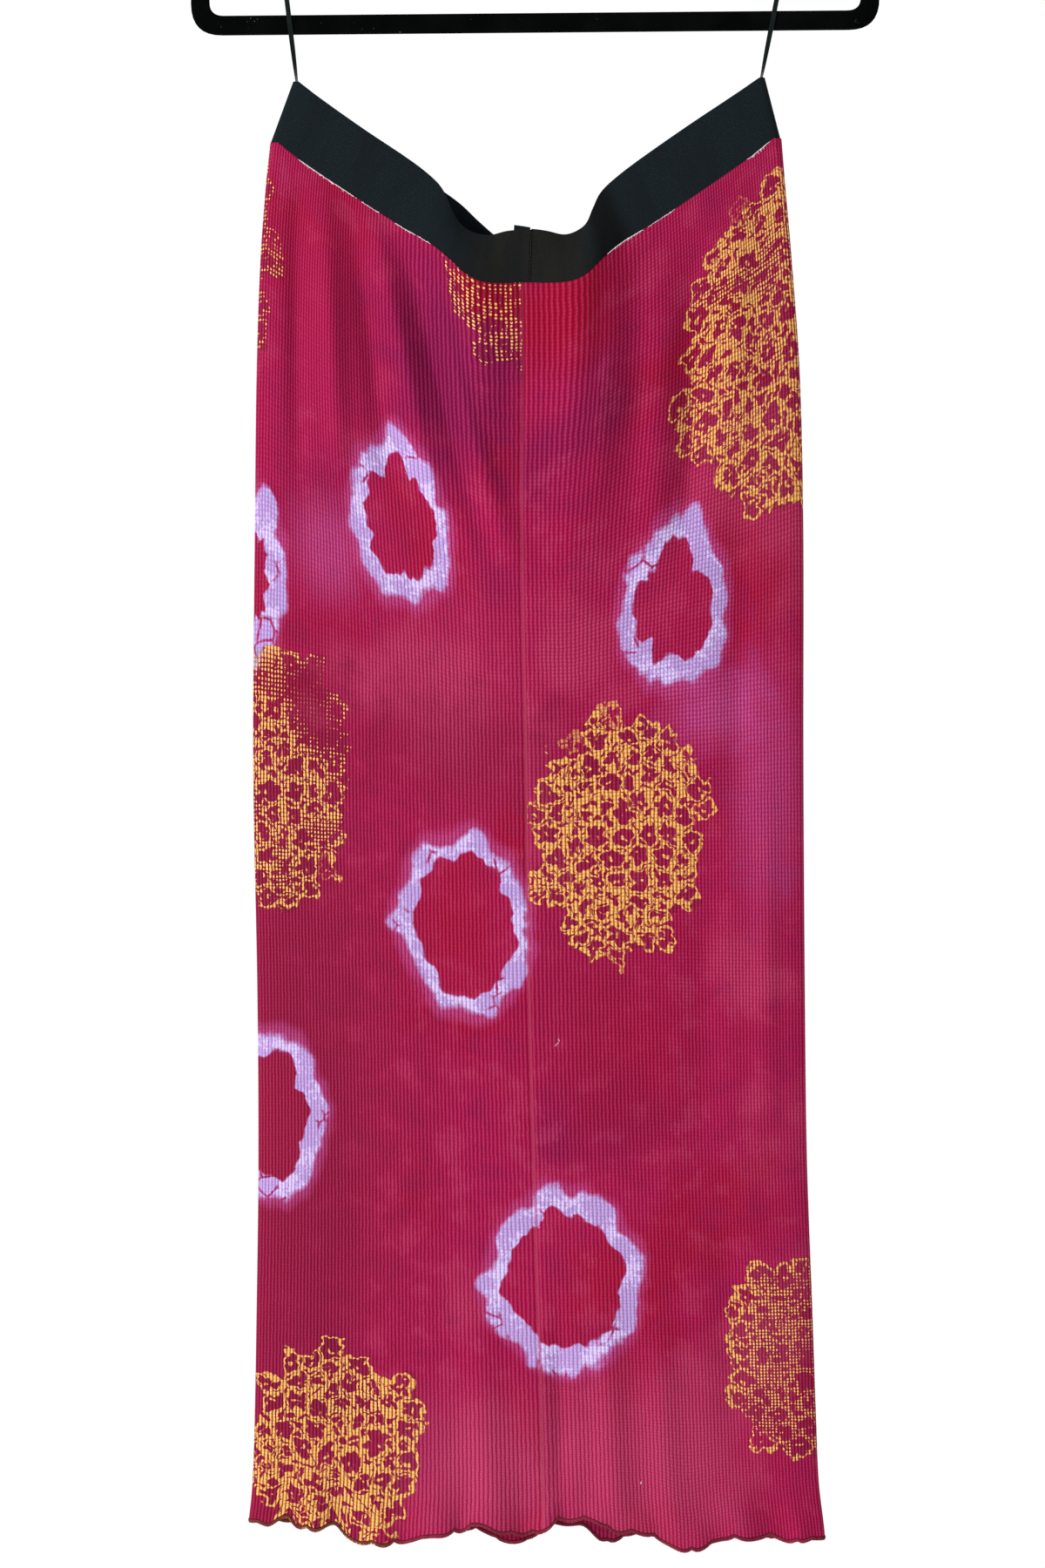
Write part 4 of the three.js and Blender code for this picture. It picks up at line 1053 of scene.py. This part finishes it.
def band_surface(stations, shares):
    """Points of the elastic: rows by the share of its width from the top edge down."""
    at = stations["at"]
    lean = at - np.sign(at) * BAND_LEAN * np.sin(math.pi * smooth(np.abs(at)))
    top = top_loop.at({**stations, "at": lean})
    bottom = band_waist.at(stations) + [0, 0, SEAM_GAP]
    share = np.asarray(shares, float)[:, None, None]
    points = top[None] * (1 - share) + bottom[None] * share
    crown = np.sin(math.pi * np.clip(share[..., 0], 0, 1)) * BAND_CROWN * (1 - np.abs(at)) ** 0.5
    side = np.where(stations["face"] == "back", 1.0, -1.0)
    points[..., 1] += side * crown * (stations["turn"] == 0)
    return points


band_round = stations_round(BAND_GRID["front"], BAND_GRID["fold"], BAND_GRID["back"])
shares = np.linspace(0, 1, BAND_GRID["rows"] + 1)
grid = band_surface(band_round, shares)
points, faces, uv = shell(
    grid, ELASTIC_THICK, np.append(share_round(band_round) * BAND_LENGTH, BAND_LENGTH),
    shares * ELASTIC_WIDTH * MM,
)
waistband = new_piece("waistband_elastic", points, faces, band_material, uv)
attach(waistband, "root")
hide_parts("waistband")

# ---------------------------------------------------------------------------------------------
# The join of the elastic. Its two ends are turned in against the inside, the left one doubled, and
# sewn down with one upright row of black stitches; they stand up a little above the band.
# ---------------------------------------------------------------------------------------------
JOIN_TABS = named_rows(
    "left right above drop thick gap",
    (-9.0, 0.9, 5.0, 2.2, 2.4, 0.2), (1.5, 14.5, 1.7, 1.0, 0.9, 0.15),
)
HALF_BAND = 170.0
TAB_GRID = {"columns": 13, "rows": 24}
TAB_SAG = 1.2
TAB_ABOVE_KNIT = 2.0
# Here the ends take the cool-lit black, clear of the warm light painted on the front.
TAB_ON_CLOTH = 100.0  # along the elastic, where the ends take their plain black from
STITCH = {"first": 1.2, "last": 38.5, "long": 2.3, "gap": 0.5, "wire": 0.28,
          "rise": (-0.15, 0.2, 0.28, 0.2, -0.15)}


def band_place(x, share):
    """A point of the front of the elastic at X, millimetres from the middle of the waist."""
    at = (np.asarray(x, float) - BAND_JOIN) / HALF_BAND
    stations = {"at": at, "turn": np.zeros_like(at), "face": np.full(at.shape, "front")}
    return band_surface(stations, share)


ends, base = [[], [], []], 0
for tab in JOIN_TABS:
    columns = np.linspace(tab["left"], tab["right"], TAB_GRID["columns"])
    edge_rows = band_place(columns, [0.0, 1.0])
    down = edge_rows[1] - edge_rows[0]
    down /= np.linalg.norm(down, axis=1, keepdims=True)
    slant = tab["above"] - tab["drop"] * np.linspace(0, 1, len(columns))
    start, end = edge_rows[0] - down * slant[:, None], edge_rows[1] - down * TAB_ABOVE_KNIT
    inward = np.stack([0 * columns, -down[:, 2], down[:, 1]], -1)
    inward /= np.linalg.norm(inward, axis=1, keepdims=True)
    offset = (tab["thick"] + ELASTIC_THICK) / 2 + tab["gap"]
    share = np.linspace(0, 1, TAB_GRID["rows"] + 1)[:, None, None]
    tab_grid = start[None] * (1 - share) + end[None] * share + inward[None] * offset
    tab_grid[..., 1] -= TAB_SAG * np.sin(math.pi * share[..., 0])
    points, faces, uv = shell(tab_grid, tab["thick"], (columns + TAB_ON_CLOTH) * MM,
                              share[:, 0, 0] * ELASTIC_WIDTH * MM, closed=False)
    for kept, more in zip(ends, (points, faces + base, uv)):
        kept.append(more)
    base += len(points)
points, faces, uv = (np.vstack(part) for part in ends)
join_tab = new_piece("waistband_join_ends", points, faces, band_material, uv)
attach(join_tab, "root")
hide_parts("waistband_join")

black_thread = sewing_thread(
    "black sewing thread", (0.003, 0.003, 0.004, 1), (0.010, 0.011, 0.012, 1), 1200.0, 2.0,
    Roughness=0.6)
stitches = []
for begin in np.arange(STITCH["first"], STITCH["last"], STITCH["long"] + STITCH["gap"]):
    places = np.linspace(begin, begin + STITCH["long"], len(STITCH["rise"]))
    share = np.clip(places / ELASTIC_WIDTH, 0, 1)
    path = band_place([BAND_JOIN], share)[:, 0] - [0, ELASTIC_THICK / 2, 0]
    path[:, 1] -= STITCH["rise"]
    stitches.append(tube(path, STITCH["wire"], 6))
points, faces = joined(stitches)
join_stitches = new_piece("waistband_join_stitches", points, faces, black_thread)
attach(join_stitches, "root")

# ---------------------------------------------------------------------------------------------
# The waist overlock. White thread joins the elastic to the knit from behind; it peeps out here and
# there below the elastic's edge where the weight of the skirt pulls the seam open.
# ---------------------------------------------------------------------------------------------
PEEPS = named_rows(
    "from to wide wire",
    (-0.905, -0.675, 1.4, 0.20), (-0.655, -0.58, 0.6, 0.14), (-0.52, -0.44, 1.1, 0.20),
    (-0.43, -0.37, 0.7, 0.16), (0.33, 0.49, 1.3, 0.22), (0.50, 0.56, 0.4, 0.12),
    (0.56, 0.61, 0.8, 0.16), (0.89, 0.985, 1.6, 0.20),
)
STRAND_STEP = 0.0062  # as the places above, in shares of half the front
FADE = 0.04
LOWER_LINE = 0.35  # below the seam, where one thread runs along the strands
white_material, white, shader = new_material("white overlock thread", Roughness=0.75)
here = white.on_piece()
soft = white.noise(here, 500.0, 3.0, dimensions="3D")
white.feed(shader["Base Color"], white.blend(soft, (0.80, 0.62, 0.70, 1), (0.92, 0.88, 0.90, 1)))
white.feed(shader["Normal"], white.bump(soft, 0.4, 0.0002))

rng = np.random.default_rng(11)
strands = []
for peep in PEEPS:
    places = np.arange(peep["from"], peep["to"], STRAND_STEP)
    near = smooth((places - peep["from"]) / FADE) * smooth((peep["to"] - places) / FADE)
    for place, fullness in zip(places, near):
        if rng.random() > 0.45 + 0.4 * fullness:
            continue
        reach = peep["wide"] * (0.35 + 0.65 * fullness) * rng.uniform(0.3, 1.3)
        slip = rng.uniform(-0.004, 0.004, 2)
        at = np.array([place, place + slip[0] * 0.6, place + slip[1]])
        lines = {"at": at, "turn": np.zeros(3), "face": np.full(3, "front")}
        surface = knit_surface(lines, [0.0, 0.5 * reach, reach])
        path = np.array([surface[k, k] for k in range(3)])
        path[:, 1] -= KNIT_THICK / 2 + np.array([0.0, 0.22, 0.05])
        strands.append(tube(path, rng.uniform(0.14, 0.24), 5))
    ends = np.arange(peep["from"], peep["to"], 0.01)
    lines = {"at": ends, "turn": np.zeros_like(ends), "face": np.full(ends.shape, "front")}
    surface = knit_surface(lines, [LOWER_LINE])[0]
    surface[:, 1] -= KNIT_THICK / 2 + 0.1
    surface[:, 2] += rng.uniform(-0.2, 0.2, len(ends))
    strands.append(tube(surface, peep["wire"], 5))
points, faces = joined(strands)
waist_thread = new_piece("waist_overlock", points, faces, white_material)
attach(waist_thread, "root")

# ---------------------------------------------------------------------------------------------
# The hanger loops. Narrow black satin ribbon, both ends of each caught inside the band at a side
# fold; one strand goes up the front of the hanger and the other up its back, over a notch.
# ---------------------------------------------------------------------------------------------
LOOPS = {
    "left": {"corner": -154.5, "notch": -165.5},
    "right": {"corner": 145.8, "notch": 165.5},
}
RIBBON = {"wide": 3.0, "thick": 0.45, "tail": 10.0, "clear": 0.5, "over_notch": 1.35}
HANGER = {"thick": 5.5, "low": -231.0, "bar": 12.5}
CORNER_Z, NOTCH_Z = -261.7, -166.0

ribbon_material, satin, shader = new_material(
    "black satin ribbon", Roughness=0.5, Specular_IOR_Level=0.10)
cloth, split = satin.on_cloth()
warp = satin.math("SINE", satin.math("MULTIPLY", split[0], 2 * math.pi / 0.00025))
uneven = satin.noise(cloth, 300.0, 2.0)
edge = satin.math("ABSOLUTE", satin.math("SUBTRACT", split[0], RIBBON["wide"] / 2 * MM))
tone = satin.blend(uneven, (0.0015, 0.0040, 0.0042, 1), (0.0060, 0.0110, 0.0115, 1))
tone = satin.blend(satin.step(edge, 0.0010, 0.0013, 0.0, 0.6), tone, (0.006, 0.008, 0.008, 1))
satin.feed(shader["Base Color"], tone)
satin.feed(shader["Normal"], satin.bump(warp, 0.25, 0.0001))

for side, place in LOOPS.items():
    face_y = HANGER["thick"] / 2 + RIBBON["clear"]
    over_z = NOTCH_Z + RIBBON["over_notch"]
    strand = [  # how far out, how high and how many degrees the ribbon is twisted there
        [1.2, CORNER_Z - RIBBON["tail"], 70],
        [1.2, CORNER_Z, 66],
        [1.8, CORNER_Z + 9, 48],
        [face_y + 0.4, HANGER["low"] - 1, 14],
        [face_y + 0.3, HANGER["low"] + HANGER["bar"] + 3, 4],
        [face_y + 0.2, over_z - 7, 0],
        [face_y, over_z - 1.0, 0],
        [face_y - 0.8, over_z, 0],
    ]
    path = [[-y, z, twist] for y, z, twist in strand] + [[0, over_z + 0.05, 0]]
    path += [[y, z, -twist] for y, z, twist in strand[::-1]]
    path = np.array(path, float)
    chord = np.linalg.norm(np.diff(path[:, :2], axis=0), axis=1)
    lengths = np.concatenate([[0], np.cumsum(chord)])
    fine = np.unique(np.concatenate([np.linspace(0, lengths[-1], 120), lengths]))
    y, z, twist = (through(lengths, path[:, k], fine) for k in range(3))
    rise = np.clip((z - CORNER_Z) / (over_z - CORNER_Z), 0, 1)
    x = place["corner"] + (place["notch"] - place["corner"]) * rise
    tangent = np.gradient(np.stack([x, y, z], -1), axis=0)
    tangent /= np.linalg.norm(tangent, axis=1, keepdims=True)
    angle = np.radians(twist)
    across = np.stack([np.cos(angle), np.sin(angle), np.zeros_like(angle)], -1)
    across -= tangent * (across * tangent).sum(1, keepdims=True)
    across /= np.linalg.norm(across, axis=1, keepdims=True)
    offsets = np.linspace(-0.5, 0.5, 5) * RIBBON["wide"]
    middle = np.stack([x, y, z], -1)
    strip = middle[:, None] - across[:, None] * offsets[None, :, None]
    points, faces, uv = shell(strip, RIBBON["thick"], (offsets + RIBBON["wide"] / 2) * MM,
                              fine * MM, closed=False)
    ribbon = new_piece(f"ribbon_{side}", points, faces, ribbon_material, uv)
    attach(ribbon, "root")
    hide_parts(f"hanger_loop_{side}")

# ---------------------------------------------------------------------------------------------
# The hanger's body. A slim moulded plastic frame with a bar, sloping shoulders and a notch in
# each, coated all over with short black flocking that catches lint.
# ---------------------------------------------------------------------------------------------
FRAME = {"half": 222.5, "low": -231.0, "bar": 12.5, "end": 12.0, "end_height": 44.0,
         "rise": 109.0, "rail": 14.5, "neck": 9.0, "neck_height": 160.0, "round": 1.6}
NOTCH = {"x": 165.5, "wide": 8.0, "deep": 3.5, "lip": 1.6}
COLLAR = named_rows("z radius", (-94.5, 3.4), (-93, 4.6), (-72, 4.6), (-69.6, 4.2), (-69, 3.2))


def shoulder(x):
    return FRAME["low"] + FRAME["end_height"] + FRAME["rise"] * (1 - abs(x) / FRAME["half"])


def rounded(corners):
    """A closed outline through corners (x, z, cut), each rounded off from its cut."""
    outline = []
    for i, (x, z, cut) in enumerate(corners):
        corner = np.array([x, z])
        ends = []
        for other in (corners[i - 1], corners[(i + 1) % len(corners)]):
            toward = np.array(other[:2]) - corner
            ends.append(corner + toward / np.linalg.norm(toward) * cut)
        for t in np.linspace(0, 1, 9 if cut > 4 else 5):
            outline.append((1 - t) ** 2 * ends[0] + 2 * t * (1 - t) * corner + t * t * ends[1])
    return outline


def both_halves(right):
    return right + [(-x, z, cut) for x, z, cut in reversed(right)]


half, low = FRAME["half"], FRAME["low"]
floor_z = shoulder(NOTCH["x"] + NOTCH["wide"] / 2) - NOTCH["deep"]
notch_in, notch_out = NOTCH["x"] - NOTCH["wide"] / 2, NOTCH["x"] + NOTCH["wide"] / 2
lip_in, lip_out = notch_in - NOTCH["lip"], notch_out + NOTCH["lip"]
outer = rounded(both_halves([
    (half, low, 20), (half, shoulder(half), 18), (lip_out, shoulder(lip_out), 2),
    (notch_out, floor_z, 1.2), (notch_in, floor_z, 1.8), (lip_in, shoulder(lip_in), 2),
    (FRAME["neck"], shoulder(FRAME["neck"]), 6),
    (FRAME["neck"] - 2, low + FRAME["neck_height"], 3),
]))
inside = half - FRAME["end"]
apex = shoulder(0) - FRAME["rail"]
hole = rounded(both_halves([
    (inside, low + FRAME["bar"], 9), (inside, shoulder(inside) - FRAME["rail"], 9),
    (10, apex - 6, 8),
]))


def slab(outlines, half_thick, edge):
    """A flat plate with rounded edges from its outer outline and its hole's."""
    points, faces, caps = [], [], ([], [])
    angles = np.radians([0, 22, 45, 67, 90, 90, 67, 45, 22, 0])
    sides = np.array([-1] * 5 + [1] * 5)
    for outline, sign in zip(outlines, (1, -1)):
        loop = np.array(outline)
        x, z = loop.T
        if np.sum(x * np.roll(z, -1) - np.roll(x, -1) * z) * sign < 0:
            loop = loop[::-1]
        ahead = np.roll(loop, -1, 0) - loop
        ahead /= np.linalg.norm(ahead, axis=1, keepdims=True)
        normal = np.stack([-ahead[:, 1], ahead[:, 0]], -1)
        normal = normal + np.roll(normal, 1, 0)
        normal /= np.linalg.norm(normal, axis=1, keepdims=True)
        first, count = sum(len(p) for p in points), len(loop)
        for angle, side in zip(angles, sides):
            ring = loop + normal * edge * (1 - math.sin(angle))
            y = side * (half_thick - edge * (1 - math.cos(angle)))
            points.append(np.stack([ring[:, 0], np.full(count, y), ring[:, 1]], -1))
        caps[0].append((points[-len(angles)], first))
        caps[1].append((points[-1], first + (len(angles) - 1) * count))
        for k in range(len(angles) - 1):
            for c in range(count):
                d = (c + 1) % count
                o = first + k * count
                faces.append([o + c, o + d, o + count + d, o + count + c])
    for cap, flip in zip(caps, (False, True)):
        rings = [[Vector((x, z, 0)) for x, _, z in part] for part, _ in cap]
        index = np.concatenate([np.arange(len(part)) + first for part, first in cap])
        for triangle in tessellate_polygon(rings):
            face = [int(index[v]) for v in triangle]
            faces.append(face[::-1] if flip else face)
    return np.vstack(points), faces


flock_material, flock, shader = new_material(
    "black flocking", Roughness=0.95, Specular_IOR_Level=0.03)
here = flock.on_piece()
pile = flock.noise(here, 2200.0, 3.0, 0.7, dimensions="3D")
patch = flock.noise(here, 35.0, 3.0, dimensions="3D")
tone = flock.blend(flock.step(patch, 0.35, 0.7), (0.0007, 0.0012, 0.0011, 1),
                   (0.0016, 0.0024, 0.0022, 1))
lint = flock.add("TexVoronoi", {"Vector": here, "Scale": 520.0}, feature="F1")
dots = flock.step(lint.outputs["Distance"], 0.06, 0.17, 1.0, 0.0)
some = flock.step(flock.noise(here, 46.0, 2.0, dimensions="3D"), 0.62, 0.70)
smudge = flock.vector("DIVIDE", flock.vector("SUBTRACT", here, (-0.185, -0.003, -0.2220)),
                      (0.009, 0.02, 0.005))
smudge = flock.step(flock.vector("LENGTH", smudge), 0.2, 1.2, 0.8, 0.0)
some = flock.math("MAXIMUM", some, smudge)
tone = flock.blend(flock.math("MULTIPLY", dots, some), tone, (0.30, 0.32, 0.32, 1))
flock.feed(shader["Base Color"], tone)
flock.feed(shader["Normal"], flock.bump(pile, 0.6, 0.0003))
collar = tube([[0, 0, ring["z"]] for ring in COLLAR], [ring["radius"] for ring in COLLAR], 24)
points, faces = joined([slab((outer, hole), HANGER["thick"] / 2, FRAME["round"]), collar])
hanger = new_piece("hanger_body", points, faces, flock_material)
turned = bmesh.new()
turned.from_mesh(hanger.data)
bmesh.ops.recalc_face_normals(turned, faces=turned.faces)
turned.to_mesh(hanger.data)
turned.free()
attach(hanger, "root")
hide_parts("hanger_frame")

# ---------------------------------------------------------------------------------------------
# The hook. Bright plated wire, pushed into the neck and bent round to fit over a wardrobe rod,
# with a rounded tip.
# ---------------------------------------------------------------------------------------------
HOOK = {"wire": 1.7, "inner": 19.0, "bend": -50.0, "tip": 205.0, "join": -48.0, "foot": -82.0,
        "lead": 18.0, "lead_in": 22.4, "rounding": (1.5, 0.9)}

hook_material, metal, shader = new_material("bright plated wire", Metallic=1.0)
here = metal.on_piece()
drawn = metal.noise(metal.vector("MULTIPLY", here, (1, 1, 0.05)), 900.0, 2.0,
                    dimensions="3D")
metal.feed(shader["Base Color"], metal.blend(drawn, (0.40, 0.41, 0.43, 1), (0.52, 0.53, 0.55, 1)))
metal.feed(shader["Roughness"], metal.step(drawn, 0.3, 0.7, 0.16, 0.28))
metal.feed(shader["Normal"], metal.bump(drawn, 0.05, 0.0001))
radius = HOOK["inner"] + HOOK["wire"]
angles = np.radians(np.linspace(HOOK["join"], HOOK["tip"], 60))
arc = np.stack([radius * np.cos(angles), 0 * angles, radius * np.sin(angles) - HOOK["inner"]], -1)
stem = [[0, 0, z] for z in np.linspace(HOOK["foot"], HOOK["bend"], 12)]
start, end = np.array(stem[-1], float), arc[0]
lead = np.array([0, 0, HOOK["lead"]])
turn_in = (arc[1] - arc[0]) / np.linalg.norm(arc[1] - arc[0]) * HOOK["lead_in"]
t = np.linspace(0, 1, 14)[1:-1, None]
sweep = ((2 * t**3 - 3 * t**2 + 1) * start + (t**3 - 2 * t**2 + t) * lead
         + (3 * t**2 - 2 * t**3) * end + (t**3 - t**2) * turn_in)
path = np.vstack([stem, sweep, arc])
thick = np.full(len(path), HOOK["wire"])
thick[-2:] = HOOK["rounding"]
points, faces = tube(path, thick, 14)
hook = new_piece("hook_wire", points, faces, hook_material)
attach(hook, "root")
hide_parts("hanger_hook")

# ---------------------------------------------------------------------------------------------
# The studio. A pale floor in white surroundings, a broad soft window light from the left and weak
# lamps elsewhere, and a camera level with the middle of the skirt, rolled by half a degree.
# ---------------------------------------------------------------------------------------------
scene = bpy.context.scene
stage_material = new_material(
    "pale floor", Base_Color=(0.80, 0.80, 0.80, 1), Roughness=0.9,
    Emission_Color=(1, 1, 1, 1), Emission_Strength=0.42)[0]
floor = new_piece("floor", [(-7000, -7000, -1500), (7000, -7000, -1500), (7000, 1600, -1500),
                            (-7000, 1600, -1500)], [(0, 1, 2, 3)], stage_material)

world = bpy.data.worlds.new("studio")
scene.world = world
world.use_nodes = True
sky = Nodes(world.node_tree)
seen = sky.add("LightPath").outputs["Is Camera Ray"]
background = world.node_tree.nodes["Background"].inputs
background["Color"].default_value = (1.0, 1.0, 1.0, 1)
sky.feed(background["Strength"], sky.math("MULTIPLY_ADD", seen, 0.68, 0.34))


def lamp(name, place, aim, size, power):
    light = bpy.data.lights.new(name, "AREA")
    light.shape, light.size, light.energy = "SQUARE", size, power
    made = bpy.data.objects.new(name, light)
    made.location = place
    direction = np.array(aim, float) - np.array(place, float)
    made.visible_camera = False
    made.rotation_euler = (
        math.atan2(math.hypot(direction[0], direction[1]), -direction[2]),
        0,
        math.atan2(-direction[0], direction[1]),
    )
    scene.collection.objects.link(made)


lamp("window", (-4.0, -3.0, 0.9), (0, 0, -0.7), 2.2, 205)
lamp("fill", (1.6, -3.0, 0.3), (0, 0, -0.75), 1.8, 16)
lamp("behind", (1.6, 2.6, 0.4), (0, 0, -0.7), 1.8, 60)

camera_data = bpy.data.cameras.new("camera")
camera_data.lens = 135
camera_data.sensor_width = 36
camera = bpy.data.objects.new("camera", camera_data)
camera.location = (-0.0126, -3.8, -0.7165)
camera.rotation_mode = "XYZ"
camera.rotation_euler = (math.pi / 2, math.radians(0.5), 0)
scene.collection.objects.link(camera)
scene.camera = camera
scene.view_settings.view_transform = "Standard"
